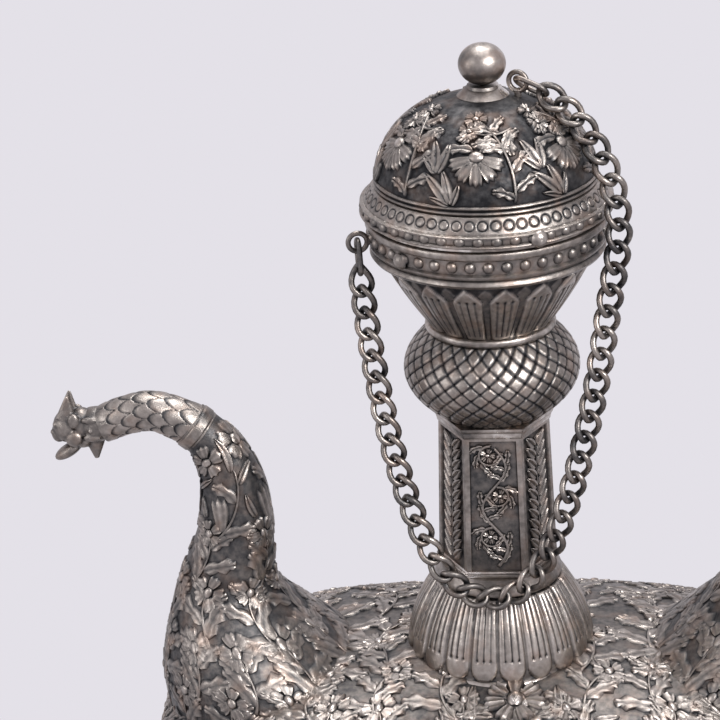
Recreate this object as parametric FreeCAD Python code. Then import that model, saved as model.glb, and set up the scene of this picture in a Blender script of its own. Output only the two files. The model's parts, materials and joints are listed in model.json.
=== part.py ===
import FreeCAD, Part
import math
import os

# A tall-necked oval metal coffee pot with a beast-headed spout, a loop handle
# and a lift-off lid tethered by a chain. Millimetres, +Z up, the spout points
# to -X, and the origin is the middle of the sole under the neck.

V = FreeCAD.Vector

# Sheet metal and fits
SHEET = 1.4
SEAT_GAP = 0.3
PLUG_GAP = 0.3

# Oval foot
FOOT_SOLE_HALF_LENGTH = 62.0
FOOT_WAIST_HALF_LENGTH = 48.0
FOOT_LIP_WIDTH = 3.0
FOOT_LIP_HEIGHT = 3.0
FOOT_CLEARANCE = 13.0
FOOT_RISE = 25.0

# Oval body
BODY_HALF_LENGTH = 111.5
BODY_HALF_DEPTH = 70.0
BELLY_DEPTH = 62.0
SHOULDER_RISE = 30.5
PLAN_FULLNESS = 3.0
PLAN_POINTS = 16
SHOULDER_LEVELS = (0, 0.25, 0.5, 0.7, 0.85, 0.95, 0.985)
BELLY_LEVELS = (0, 0.3, 0.55, 0.75, 0.9, 0.97)

# Neck, from the lotus bell up to the rim of the cup
BELL_FOOT_R = 28.8
BELL_BELLY_R = 26.3
BELL_TOP_R = 20.2
BELL_HEIGHT = 22.5
BELL_BELLY_RISE = 12.0
BELL_CAP_HEIGHT = 5.5
COLUMN_FOOT_R = 19.0
COLUMN_HEAD_R = 17.5
COLUMN_HEIGHT = 48.4
PLINTH_HEIGHT = 2.0
PLINTH_STEP = 0.9
CORNICE_COURSE_HEIGHT = 1.6
CORNICE_STEP = 0.8
NECK_BORE_R = 11.0
KNOP_FOOT_R = 15.6
KNOP_BELLY_R = 27.3
KNOP_TOP_R = 19.2
KNOP_BELLY_RISE = 16.0
KNOP_HEIGHT = 28.6
COLLAR_R = 20.4
COLLAR_HEIGHT = 2.4
CUP_FOOT_R = 18.4
CUP_WAIST_R = 25.2
CUP_MOUTH_R = 32.4
CUP_WAIST_RISE = 10.0
CUP_HEIGHT = 23.0
RIM_FOOT_R = 35.6
RIM_FLARE = 1.8
RIM_MOUTH_R = RIM_FOOT_R + RIM_FLARE
RIM_HEIGHT = 12.0
RIM_WALL = 2.2

# Lid
SEAT_RING_HEIGHT = 1.5
SEAT_RING_INSET = 1.0
SEAT_RING_WIDTH = 6.0
PLUG_DEPTH = 8.0
LID_OVERHANG = 0.6
BEAD_BAND_SWELL = 1.2
BEAD_BAND_FOOT_R = RIM_MOUTH_R + LID_OVERHANG
BEAD_BAND_R = BEAD_BAND_FOOT_R + BEAD_BAND_SWELL
BEAD_BAND_HEIGHT = 3.8
BEAD_BAND_WIDTH = 3.4
SLOPE_HEIGHT = 4.8
SLOPE_INSET = 0.7
DOME_R = 33.6
DOME_HEIGHT = 27.2
STEM_FOOT_R = 8.8
STEM_TOP_R = 4.6
STEM_HEIGHT = 2.6
FINIAL_R = 7.2

# Spout and handle: horns that grow out of the ends of the body, collars, a scaled neck and tail.
# A section is (out, rise, lean, half_width, half_depth). Out is from the horn's foot, rise is from
# the equator, and both and the half sizes are shares of HORN_MODULE. Lean is in degrees.
HORN_END_INSET = 27.3
HORN_BORE_R = 13.0
OVAL_POINTS = 8
COLLAR_BAND_LENGTH = 5.0
COLLAR_BAND_PROUD = 0.9
HORN_MODULE = 100.0
HORN_SECTIONS = [
    (-0.100, 0.010, 0, 0.350, 0.380),
    (-0.065, 0.200, 0, 0.335, 0.360),
    (-0.012, 0.320, 0, 0.268, 0.304),
    (0.011, 0.380, 0, 0.229, 0.252),
    (0.030, 0.435, 0, 0.195, 0.205),
    (0.040, 0.485, 0, 0.170, 0.172),
    (0.036, 0.545, -6, 0.149, 0.149),
    (0.004, 0.700, -4, 0.121, 0.121),
    (0.005, 0.850, 10, 0.101, 0.101),
    (0.038, 0.960, 30, 0.085, 0.085),
    (0.089, 1.032, 50, 0.073, 0.073),
]
NECK_SECTIONS = [
    (0.238, 1.108, 90, 0.064, 0.064),
    (0.330, 1.096, 102, 0.061, 0.061),
    (0.407, 1.066, 110, 0.060, 0.060),
]
TAIL_SECTIONS = [
    (0.245, 1.100, 90, 0.065, 0.065),
    (0.410, 1.040, 122, 0.065, 0.065),
    (0.500, 0.880, 163, 0.064, 0.064),
    (0.496, 0.670, 190, 0.060, 0.060),
    (0.435, 0.480, 206, 0.054, 0.054),
    (0.330, 0.315, 220, 0.046, 0.046),
    (0.220, 0.195, 232, 0.042, 0.042),
]

# Beast's head: the same kind of sections, from the back of the head, in shares of HEAD_LENGTH
HEAD_LENGTH = 16.0
HEAD_BORE_R = 3.6
SKULL_SECTIONS = [
    (0.41, -0.06, 100, 0.43, 0.41),
    (0.78, -0.10, 100, 0.27, 0.31),
    (1.03, -0.21, 110, 0.11, 0.17),
]
JAW_SECTIONS = [
    (0.19, -0.19, 125, 0.16, 0.29),
    (0.50, -0.45, 125, 0.14, 0.25),
    (0.78, -0.64, 118, 0.10, 0.20),
    (1.04, -0.76, 110, 0.06, 0.11),
]
EAR_FOOT = (0.47, 0.21, 0.21)
EAR_HEADING = (-0.38, 0.3, 1)
EAR_LENGTH = 7.5
EAR_R = 2.4
BEARD_FOOT = (0.16, -0.22)
BEARD_LENGTH = 8.0
BEARD_R = 2.2
TIP_R = 0.5

# Chain, its eyes and the rivets
WIRE_R = 0.8
LINK_INNER_LENGTH = 7.3
LINK_OUTER_WIDTH = 8.2
LINK_PITCH = 6.85
LINK_GAP = 0.9
LINK_TILT = 45.0
JUMP_INNER_LENGTH = 9.0
JUMP_OUTER_WIDTH = 6.8
EYE_RING_R = 2.9
EYE_POST_R = 1.1
LID_EYE_OUT = 10.5
CUP_EYE_ANGLE = 193.0
CUP_EYE_DROP = 6.0
CHAIN_STAND_OFF = 4.4
CHAIN_LID_ANGLE = -24.0
CHAIN_FRONT_GAP = 7.0
OVER_DOME_RISE = 38.0
OVER_DOME_TURN = 0.7
LID_SIDE_BOW = 1.15
LID_SIDE_FULLNESS = 0.45
CUP_SIDE_BOW = 1.4
CUP_SIDE_FULLNESS = 0.4
HANG_STEPS = 9
SWING_LINKS = 6
RIVET_R = 2.6
RIVET_HEIGHT = 1.6
CUP_RIVET_ANGLE = 226.0
LID_RIVET_ANGLE = -65.0

# Heights of the seats, each stacked on the one below
EQUATOR_Z = FOOT_CLEARANCE + BELLY_DEPTH
SHOULDER_Z = EQUATOR_Z + SHOULDER_RISE
BELL_TOP_Z = SHOULDER_Z + BELL_HEIGHT
COLUMN_Z = BELL_TOP_Z + BELL_CAP_HEIGHT
CORNICE_Z = COLUMN_Z + COLUMN_HEIGHT
KNOP_Z = CORNICE_Z + 2 * CORNICE_COURSE_HEIGHT
COLLAR_Z = KNOP_Z + KNOP_HEIGHT
CUP_Z = COLLAR_Z + COLLAR_HEIGHT
RIM_Z = CUP_Z + CUP_HEIGHT
RIM_TOP_Z = RIM_Z + RIM_HEIGHT
LID_Z = RIM_TOP_Z + SEAT_GAP
BAND_Z = LID_Z + SEAT_RING_HEIGHT
SLOPE_Z = BAND_Z + BEAD_BAND_HEIGHT
DOME_Z = SLOPE_Z + SLOPE_HEIGHT
DOME_TOP_Z = DOME_Z + DOME_HEIGHT
FINIAL_FLAT = math.sqrt(FINIAL_R ** 2 - STEM_TOP_R ** 2)
FINIAL_Z = DOME_TOP_Z + STEM_HEIGHT + FINIAL_FLAT

DEPTH_RATIO = BODY_HALF_DEPTH / BODY_HALF_LENGTH
HORN_X = BODY_HALF_LENGTH - HORN_END_INSET


def save(shape, node):
    """Write one sub-part under its own name."""
    shape.exportStep("parts/" + node + ".step")
    print(node, len(shape.Solids), "solid", round(shape.Volume), "mm3", shape.isValid())


def line(start, end):
    return Part.LineSegment(V(start[0], 0, start[1]), V(end[0], 0, end[1])).toShape()


def curve(points):
    spline = Part.BSplineCurve()
    spline.interpolate([V(radius, 0, height) for radius, height in points])
    return spline.toShape()


def spun(edges):
    """Turn a closed half-profile about the neck axis."""
    face = Part.Face(Part.Wire(edges))
    return face.revolve(V(0, 0, 0), V(0, 0, 1), 360)


def turned(points):
    """A ring or disc with a straight-sided profile of (radius, height) corners."""
    corners = points + points[:1]
    return spun([line(a, b) for a, b in zip(corners, corners[1:])])


def turned_shell(outer, wall):
    """A sheet-metal wall whose outside follows a smooth (radius, height) line."""
    inner = [(radius - wall, height) for radius, height in outer]
    return spun([
        curve(outer),
        line(outer[-1], inner[-1]),
        curve(inner[::-1]),
        line(inner[0], outer[0]),
    ])


def squeezed(shape, ratio):
    """Make a round piece oval by narrowing it from front to back."""
    matrix = FreeCAD.Matrix()
    matrix.scale(1, ratio, 1)
    return shape.transformGeometry(matrix)


def dome_solid(radius, rise):
    """The lid's dome as a solid: a half ball pressed down to its rise."""
    ball = Part.makeSphere(radius, V(0, 0, 0), V(0, 0, 1), 0, 90, 360)
    matrix = FreeCAD.Matrix()
    matrix.scale(1, 1, rise / radius)
    shape = ball.transformGeometry(matrix)
    shape.translate(V(0, 0, DOME_Z))
    return shape


def plan_oval(half_length, half_depth, height):
    """The body's outline from above, fuller at its corners than an ellipse."""
    points = []
    for step in range(PLAN_POINTS):
        angle = 2 * math.pi * step / PLAN_POINTS
        across, beside = math.cos(angle), math.sin(angle)
        x = math.copysign(abs(across) ** (2 / PLAN_FULLNESS), across)
        y = math.copysign(abs(beside) ** (2 / PLAN_FULLNESS), beside)
        points.append(V(half_length * x, half_depth * y, height))
    spline = Part.BSplineCurve()
    spline.interpolate(points, PeriodicFlag=True)
    return Part.Wire([spline.toShape()])


def body_solid(inset, rise, levels):
    """One half of the body as a solid: up from the equator, or down for a negative rise."""
    wires = []
    for level in levels:
        share = math.sqrt(1 - level ** 2)
        length = (BODY_HALF_LENGTH - inset) * share
        depth = (BODY_HALF_DEPTH - inset) * share
        wires.append(plan_oval(length, depth, EQUATOR_Z + rise * level))
    return Part.makeLoft(wires, True, False, False, 3)


def shoulder_solid():
    """The upper body as if it were solid, for trimming what is soldered onto it."""
    return body_solid(0, SHOULDER_RISE, SHOULDER_LEVELS)


def belly_solid():
    return body_solid(0, -BELLY_DEPTH, BELLY_LEVELS)


def body_upper():
    """The shoulder, pierced under the neck and under the spout."""
    shell = shoulder_solid().cut(body_solid(SHEET, SHOULDER_RISE - SHEET, SHOULDER_LEVELS))
    reach = SHOULDER_RISE + SHEET
    neck_hole = Part.makeCylinder(NECK_BORE_R, reach, V(0, 0, EQUATOR_Z))
    spout_hole = Part.makeCylinder(HORN_BORE_R, reach, V(-HORN_X, 0, EQUATOR_Z))
    return shell.cut(neck_hole).cut(spout_hole)


def body_lower():
    return belly_solid().cut(body_solid(SHEET, SHEET - BELLY_DEPTH, BELLY_LEVELS))


def foot_ring():
    """The splayed oval foot, trimmed to the belly that it carries."""
    top = FOOT_RISE
    sole = FOOT_SOLE_HALF_LENGTH
    waist = FOOT_WAIST_HALF_LENGTH
    ring = turned([
        (sole - FOOT_LIP_WIDTH, 0),
        (sole, 0),
        (sole, FOOT_LIP_HEIGHT),
        (waist + FOOT_LIP_WIDTH, top / 2),
        (waist, top),
        (waist - FOOT_LIP_WIDTH, top),
        (waist, top / 2),
        (sole - FOOT_LIP_WIDTH, FOOT_LIP_HEIGHT),
    ])
    return squeezed(ring, DEPTH_RATIO).cut(belly_solid())


def foot_plate():
    """The flat oval plate that closes the foot."""
    half_length = FOOT_SOLE_HALF_LENGTH - FOOT_LIP_WIDTH
    rim = Part.Ellipse(V(0, 0, 0), half_length, half_length * DEPTH_RATIO).toShape()
    return Part.Face(Part.Wire([rim])).extrude(V(0, 0, SHEET))


def neck_bell():
    """The lotus bell that spreads the neck over the shoulder."""
    skirt_z = EQUATOR_Z + SHOULDER_RISE / 2
    outer = [
        (BELL_FOOT_R, SHOULDER_Z),
        (BELL_BELLY_R, SHOULDER_Z + BELL_BELLY_RISE),
        (BELL_TOP_R, BELL_TOP_Z),
    ]
    inner = [(radius - SHEET, height) for radius, height in outer]
    bell = spun([
        curve(outer),
        line(outer[-1], (COLUMN_FOOT_R, COLUMN_Z)),
        line((COLUMN_FOOT_R, COLUMN_Z), (NECK_BORE_R, COLUMN_Z)),
        line((NECK_BORE_R, COLUMN_Z), (NECK_BORE_R, COLUMN_Z - SHEET)),
        line((NECK_BORE_R, COLUMN_Z - SHEET), (COLUMN_FOOT_R - SHEET, COLUMN_Z - SHEET)),
        line((COLUMN_FOOT_R - SHEET, COLUMN_Z - SHEET), inner[-1]),
        curve(inner[::-1]),
        line(inner[0], (inner[0][0], skirt_z)),
        line((inner[0][0], skirt_z), (BELL_FOOT_R, skirt_z)),
        line((BELL_FOOT_R, skirt_z), outer[0]),
    ])
    return bell.cut(shoulder_solid())


def hexagon(circumradius, height):
    """A six-cornered outline with its corners to the left and right."""
    angles = [math.radians(60 * step) for step in range(7)]
    corners = [V(circumradius * math.cos(a), circumradius * math.sin(a), height) for a in angles]
    return Part.makePolygon(corners)


def hex_frustum(foot_r, head_r, base_z, top_z):
    return Part.makeLoft([hexagon(foot_r, base_z), hexagon(head_r, top_z)], True, True)


def neck_column():
    """The tapering six-sided column, folded from sheet."""
    corner_wall = SHEET / math.cos(math.pi / 6)
    outer = hex_frustum(COLUMN_FOOT_R, COLUMN_HEAD_R, COLUMN_Z, CORNICE_Z)
    inner = hex_frustum(COLUMN_FOOT_R - corner_wall, COLUMN_HEAD_R - corner_wall, COLUMN_Z, CORNICE_Z)
    return outer.cut(inner)


def neck_plinth():
    """The raised moulding round the foot of the column."""
    outer_r = COLUMN_FOOT_R + PLINTH_STEP
    block = hex_frustum(outer_r, outer_r, COLUMN_Z, COLUMN_Z + PLINTH_HEIGHT)
    return block.cut(hex_frustum(COLUMN_FOOT_R, COLUMN_HEAD_R, COLUMN_Z, CORNICE_Z))


def neck_cornice():
    """Two stepped six-sided courses that cap the column."""
    lower_r = COLUMN_HEAD_R + CORNICE_STEP
    upper_r = lower_r + CORNICE_STEP
    middle_z = CORNICE_Z + CORNICE_COURSE_HEIGHT
    courses = hex_frustum(lower_r, lower_r, CORNICE_Z, middle_z)
    courses = courses.fuse(hex_frustum(upper_r, upper_r, middle_z, KNOP_Z)).removeSplitter()
    return courses.cut(Part.makeCylinder(NECK_BORE_R, KNOP_Z - CORNICE_Z, V(0, 0, CORNICE_Z)))


def knop():
    """The hollow ball of the neck."""
    return turned_shell([
        (KNOP_FOOT_R, KNOP_Z),
        (KNOP_BELLY_R, KNOP_Z + KNOP_BELLY_RISE),
        (KNOP_TOP_R, COLLAR_Z),
    ], SHEET)


def knop_collar():
    """The plain ring between the ball and the cup."""
    bore_r = min(KNOP_TOP_R, CUP_FOOT_R) - SHEET
    edge_r = COLLAR_R - COLLAR_HEIGHT / 4
    return turned([
        (bore_r, COLLAR_Z),
        (edge_r, COLLAR_Z),
        (COLLAR_R, COLLAR_Z + COLLAR_HEIGHT / 4),
        (COLLAR_R, CUP_Z - COLLAR_HEIGHT / 4),
        (edge_r, CUP_Z),
        (bore_r, CUP_Z),
    ])


def cup():
    return turned_shell([
        (CUP_FOOT_R, CUP_Z),
        (CUP_WAIST_R, CUP_Z + CUP_WAIST_RISE),
        (CUP_MOUTH_R, RIM_Z),
    ], SHEET)


def cup_rim_band():
    """The beaded band round the mouth, with the floor that joins it to the cup."""
    well_r = RIM_MOUTH_R - RIM_WALL
    return turned([
        (CUP_MOUTH_R - SHEET, RIM_Z),
        (RIM_FOOT_R, RIM_Z),
        (RIM_MOUTH_R, RIM_TOP_Z),
        (well_r, RIM_TOP_Z),
        (well_r - RIM_FLARE, RIM_Z + SHEET),
        (CUP_MOUTH_R - SHEET, RIM_Z + SHEET),
    ])


def lid_seat_ring():
    """The flat ring under the lid that rests on the rim."""
    outer_r = RIM_MOUTH_R - SEAT_RING_INSET
    inner_r = outer_r - SEAT_RING_WIDTH
    return turned([(inner_r, LID_Z), (outer_r, LID_Z), (outer_r, BAND_Z), (inner_r, BAND_Z)])


def lid_plug():
    """The sleeve that keeps the lid centred in the rim."""
    outer_r = RIM_FOOT_R - RIM_WALL - PLUG_GAP
    inner_r = outer_r - SHEET
    foot_z = LID_Z - PLUG_DEPTH
    return turned([(inner_r, foot_z), (outer_r, foot_z), (outer_r, LID_Z), (inner_r, LID_Z)])


def lid_bead_band():
    inner_r = BEAD_BAND_FOOT_R - BEAD_BAND_WIDTH
    return turned([
        (inner_r, BAND_Z),
        (BEAD_BAND_FOOT_R, BAND_Z),
        (BEAD_BAND_R, BAND_Z + BEAD_BAND_HEIGHT / 2),
        (BEAD_BAND_FOOT_R, SLOPE_Z),
        (inner_r, SLOPE_Z),
    ])


def lid_slope_ring():
    """The sloping ring that carries the stamped circles up to the dome."""
    foot_r = BEAD_BAND_FOOT_R - SLOPE_INSET
    return turned([
        (foot_r - BEAD_BAND_WIDTH + SHEET, SLOPE_Z),
        (foot_r, SLOPE_Z),
        (DOME_R + SLOPE_INSET, DOME_Z),
        (DOME_R - SHEET, DOME_Z),
    ])


def lid_dome():
    return dome_solid(DOME_R, DOME_HEIGHT).cut(dome_solid(DOME_R - SHEET, DOME_HEIGHT - SHEET))


def finial_stem():
    """The little cone under the finial, trimmed to the dome."""
    top_z = DOME_TOP_Z + STEM_HEIGHT
    base_z = DOME_TOP_Z - STEM_HEIGHT
    cone = turned([(0, base_z), (STEM_FOOT_R, base_z), (STEM_TOP_R, top_z), (0, top_z)])
    return cone.cut(dome_solid(DOME_R, DOME_HEIGHT))


def finial_ball():
    """The ball on top, flat where it is soldered to its stem."""
    ball = Part.makeSphere(FINIAL_R, V(0, 0, FINIAL_Z))
    waste = Part.makeCylinder(FINIAL_R, FINIAL_R, V(0, 0, FINIAL_Z - FINIAL_FLAT - FINIAL_R))
    return ball.cut(waste)


def oval_section(out, rise, lean, half_width, half_depth):
    """An oval across the spout's line: out along -X, leaning from upright towards -X."""
    tilt = math.radians(lean)
    points = []
    for step in range(OVAL_POINTS):
        angle = 2 * math.pi * step / OVAL_POINTS
        across = half_width * math.cos(angle)
        beside = half_depth * math.sin(angle)
        points.append(V(across * math.cos(tilt) - out, beside, rise + across * math.sin(tilt)))
    spline = Part.BSplineCurve()
    spline.interpolate(points, PeriodicFlag=True)
    return Part.Wire([spline.toShape()])


def horn_loft(sections, wall):
    """A smooth tapering tube, thinned by a wall all round."""
    wires = [oval_section(out, rise, lean, width - wall, depth - wall)
             for out, rise, lean, width, depth in sections]
    return Part.makeLoft(wires, True, False, False, 3)


def scaled(sections, out, rise, module):
    """Sections given in shares of a module, set out from a foot point."""
    return [(out + o * module, rise + r * module, lean, width * module, depth * module)
            for o, r, lean, width, depth in sections]


def horn_sections():
    """The horn's sections, from inside the body up to the collar band."""
    return scaled(HORN_SECTIONS, HORN_X, EQUATOR_Z, HORN_MODULE)


def horn():
    """A hollow horn, not yet fitted to the shoulder."""
    sections = horn_sections()
    return horn_loft(sections, 0).cut(horn_loft(sections, SHEET))


def spout_root():
    return horn().cut(shoulder_solid())


def along(section, distance):
    """The same section moved along its own axis."""
    out, rise, lean, width, depth = section
    angle = math.radians(lean)
    return (out + distance * math.sin(angle), rise + distance * math.cos(angle), lean, width, depth)


def collar_band():
    """The plain band that hides the joint above the horn."""
    out, rise, lean, width, depth = horn_sections()[-1]
    proud = width + COLLAR_BAND_PROUD
    start = (out, rise, lean, proud, proud)
    outer = horn_loft([start, along(start, COLLAR_BAND_LENGTH)], 0)
    bore = (out, rise, lean, width, depth)
    return outer.cut(horn_loft([bore, along(bore, COLLAR_BAND_LENGTH)], SHEET))


def neck_start():
    out, rise, lean, width, depth = along(horn_sections()[-1], COLLAR_BAND_LENGTH)
    return (out, rise, lean, width - COLLAR_BAND_PROUD / 2, depth - COLLAR_BAND_PROUD / 2)


def spout_neck_sections():
    """The scaled neck, over its crown to the back of the head."""
    return [neck_start()] + scaled(NECK_SECTIONS, HORN_X, EQUATOR_Z, HORN_MODULE)


def spout_neck():
    sections = spout_neck_sections()
    return horn_loft(sections, 0).cut(horn_loft(sections, SHEET))


def spout_head():
    """A horned beast's head with open jaws, bored through to the mouth."""
    back = spout_neck_sections()[-1]
    out, rise = back[0], back[1]
    skull = horn_loft([back] + scaled(SKULL_SECTIONS, out, rise, HEAD_LENGTH), 0)
    head = skull.fuse(horn_loft(scaled(JAW_SECTIONS, out, rise, HEAD_LENGTH), 0))
    ahead, beside, above = [share * HEAD_LENGTH for share in EAR_FOOT]
    for side in (-1, 1):
        foot = V(-out - ahead, side * beside, rise + above)
        heading = V(EAR_HEADING[0], side * EAR_HEADING[1], EAR_HEADING[2])
        head = head.fuse(Part.makeCone(EAR_R, TIP_R, EAR_LENGTH, foot, heading))
    ahead, above = [share * HEAD_LENGTH for share in BEARD_FOOT]
    chin = V(-out - ahead, 0, rise + above)
    head = head.fuse(Part.makeCone(BEARD_R, TIP_R, BEARD_LENGTH, chin, V(0, 0, -1)))
    lean = math.radians(back[2])
    heading = V(-math.sin(lean), 0, math.cos(lean))
    start = V(-out, 0, rise) - heading * SHEET
    return head.cut(Part.makeCylinder(HEAD_BORE_R, 1.5 * HEAD_LENGTH, start, heading))


def mirrored(shape):
    return shape.mirror(V(0, 0, 0), V(1, 0, 0))


def handle_root():
    return mirrored(horn()).cut(shoulder_solid())


def handle_tail():
    """The scaled tail, over the top and down, trimmed to the handle's horn and the body."""
    sections = [neck_start()] + scaled(TAIL_SECTIONS, HORN_X, EQUATOR_Z, HORN_MODULE)
    tail = horn_loft(sections, 0).cut(horn_loft(horn_sections(), 0))
    return mirrored(tail).cut(shoulder_solid())


def eye_ring(centre, axis):
    return Part.makeTorus(EYE_RING_R, WIRE_R, centre, axis)


def lid_eye_centre():
    share = LID_EYE_OUT / DOME_R
    dome_z = DOME_Z + DOME_HEIGHT * math.sqrt(1 - share ** 2)
    return V(LID_EYE_OUT, 0, dome_z + EYE_RING_R + 2 * WIRE_R)


def lid_chain_eye():
    """An upright ring on a short post, on the dome beside the finial, facing across the chain."""
    centre = lid_eye_centre()
    route = chain_route()
    heading = V(*route.tangent(route.parameterAtDistance(JUMP_INNER_LENGTH / 2))[0])
    foot = V(centre.x, centre.y, centre.z - EYE_RING_R - 4 * WIRE_R)
    post = Part.makeCylinder(EYE_POST_R, 4 * WIRE_R, foot)
    eye = eye_ring(centre, V(0, 0, 1).cross(heading)).fuse(post)
    return eye.cut(dome_solid(DOME_R, DOME_HEIGHT))


def rim_radius(height):
    """The outer radius of the rim band at a height."""
    return RIM_FOOT_R + RIM_FLARE * (height - RIM_Z) / RIM_HEIGHT


def cup_eye_centre():
    height = RIM_TOP_Z - CUP_EYE_DROP
    angle = math.radians(CUP_EYE_ANGLE)
    out = rim_radius(height) + EYE_RING_R + WIRE_R
    return V(out * math.cos(angle), out * math.sin(angle), height)


def rim_solid():
    return turned([(0, RIM_Z), (RIM_FOOT_R, RIM_Z), (RIM_MOUTH_R, RIM_TOP_Z), (0, RIM_TOP_Z)])


def cup_chain_eye():
    """A ring soldered to the outside of the rim band."""
    centre = cup_eye_centre()
    angle = math.radians(CUP_EYE_ANGLE)
    outward = V(math.cos(angle), math.sin(angle), 0)
    post = Part.makeCylinder(EYE_POST_R, 4 * WIRE_R, centre - outward * (EYE_RING_R + 4 * WIRE_R), outward)
    eye = eye_ring(centre, V(-outward.y, outward.x, 0)).fuse(post)
    return eye.cut(rim_solid())


def dome_head(seat, outward):
    """A low round rivet head standing on a surface."""
    radius = (RIVET_R ** 2 + RIVET_HEIGHT ** 2) / (2 * RIVET_HEIGHT)
    sunk = radius - RIVET_HEIGHT
    latitude = math.degrees(math.asin(sunk / radius))
    return Part.makeSphere(radius, seat - outward * sunk, outward, latitude, 90, 360)


def cup_rivet():
    """A rivet head square to the sloping rim band."""
    height = (RIM_Z + RIM_TOP_Z) / 2
    angle = math.radians(CUP_RIVET_ANGLE)
    slope = math.atan2(RIM_FLARE, RIM_HEIGHT)
    level = V(math.cos(angle), math.sin(angle), 0)
    outward = level * math.cos(slope) - V(0, 0, math.sin(slope))
    return dome_head(level * rim_radius(height) + V(0, 0, height), outward)


def lid_rivet():
    angle = math.radians(LID_RIVET_ANGLE)
    outward = V(math.cos(angle), math.sin(angle), 0)
    return dome_head(outward * BEAD_BAND_R + V(0, 0, BAND_Z + BEAD_BAND_HEIGHT / 2), outward)


def hanging(top, bottom, bow, fullness):
    """Points of one hanging side of the chain, from its top to the lowest point."""
    points = []
    for step in range(HANG_STEPS):
        share = math.sin(math.pi / 2 * step / HANG_STEPS)
        spread = (1 - share ** bow) ** fullness
        depth = top.y + (bottom.y - top.y) * share
        height = top.z + (bottom.z - top.z) * share
        points.append(V(bottom.x + (top.x - bottom.x) * spread, depth, height))
    return points


def chain_route():
    """The chain's line: from the lid's eye, over the dome, down, and up to the cup's eye."""
    angle = math.radians(CHAIN_LID_ANGLE)
    edge_r = BEAD_BAND_R + CHAIN_STAND_OFF
    edge = V(edge_r * math.cos(angle), edge_r * math.sin(angle), BAND_Z)
    start = lid_eye_centre()
    shoulder = math.radians(OVER_DOME_RISE)
    dome_r = (DOME_R + CHAIN_STAND_OFF) * math.cos(shoulder)
    dome_z = DOME_Z + (DOME_HEIGHT + CHAIN_STAND_OFF) * math.sin(shoulder)
    over_angle = angle * OVER_DOME_TURN
    over = V(dome_r * math.cos(over_angle), dome_r * math.sin(over_angle), dome_z)
    low = V(0, -(BELL_TOP_R + CHAIN_FRONT_GAP), COLUMN_Z - 2 * WIRE_R)
    right = hanging(edge, low, LID_SIDE_BOW, LID_SIDE_FULLNESS)
    left = hanging(cup_eye_centre(), low, CUP_SIDE_BOW, CUP_SIDE_FULLNESS)
    spline = Part.BSplineCurve()
    spline.interpolate([start, over] + right + [low] + left[::-1])
    return spline


def stadium_link(inner_length, outer_width):
    """One flat oval wire link, long along X."""
    bend_r = outer_width / 2 - WIRE_R
    straight = inner_length + 2 * WIRE_R - 2 * bend_r
    straight = straight if straight > WIRE_R / 4 else WIRE_R / 4
    link = None
    for side in (-1, 1):
        bend = Part.makeTorus(bend_r, WIRE_R, V(0, 0, 0), V(0, 0, 1), 0, 360, 180)
        bend.rotate(V(0, 0, 0), V(0, 0, 1), -90 * side)
        bend.translate(V(side * straight / 2, 0, 0))
        rail = Part.makeCylinder(WIRE_R, straight, V(-straight / 2, side * bend_r, 0), V(1, 0, 0))
        pieces = bend.fuse(rail)
        link = pieces if link is None else link.fuse(pieces)
    return link.removeSplitter()


def placed(link, centre, tangent, turn):
    """Put a link on the route, turned about the route's direction."""
    outward = V(centre.x, centre.y, 0)
    across = tangent.cross(outward).normalize()
    face = across.cross(tangent).normalize()
    matrix = FreeCAD.Matrix(
        tangent.x, across.x, face.x, centre.x,
        tangent.y, across.y, face.y, centre.y,
        tangent.z, across.z, face.z, centre.z,
        0, 0, 0, 1)
    copy = link.copy()
    copy.rotate(V(0, 0, 0), V(1, 0, 0), turn)
    copy.transformShape(matrix)
    return copy


def chain_pieces():
    """All the links in order, and the pivots of the two bottom lengths."""
    route = chain_route()
    first = JUMP_INNER_LENGTH - LINK_GAP + LINK_INNER_LENGTH / 2
    length = route.length()
    spans = math.ceil((length - 2 * first) / LINK_PITCH)
    pitch = (length - 2 * first) / spans

    def at(distance, link, turn):
        parameter = route.parameterAtDistance(distance)
        tangent = V(*route.tangent(parameter)[0])
        return placed(link, route.value(parameter), tangent, turn)

    link = stadium_link(LINK_INNER_LENGTH, LINK_OUTER_WIDTH)
    jump = stadium_link(JUMP_INNER_LENGTH, JUMP_OUTER_WIDTH)
    places = [first + pitch * index for index in range(spans + 1)]
    links = [at(place, link, LINK_TILT if index % 2 else -LINK_TILT) for index, place in enumerate(places)]
    heights = [route.value(route.parameterAtDistance(place)).z for place in places]
    lowest = heights.index(min(heights))
    right_end = lowest - SWING_LINKS + 1
    left_end = lowest + SWING_LINKS + 1
    for name, index in (("right pivot", right_end), ("left pivot", left_end), ("open pivot", lowest + 1)):
        pivot = route.value(route.parameterAtDistance(places[index] - pitch / 2))
        print(name, [round(value, 2) for value in pivot])
    print("chain", round(length, 1), "mm,", len(links), "links, pitch", round(pitch, 3))
    return {
        "lid_jump_link": [at(JUMP_INNER_LENGTH / 2, jump, 0)],
        "chain_lid_run": links[:right_end],
        "chain_lid_swing": links[right_end:lowest + 1],
        "chain_cup_swing": links[lowest + 1:left_end],
        "chain_cup_run": links[left_end:],
        "cup_jump_link": [at(length - JUMP_INNER_LENGTH / 2, jump, 0)],
    }


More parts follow.
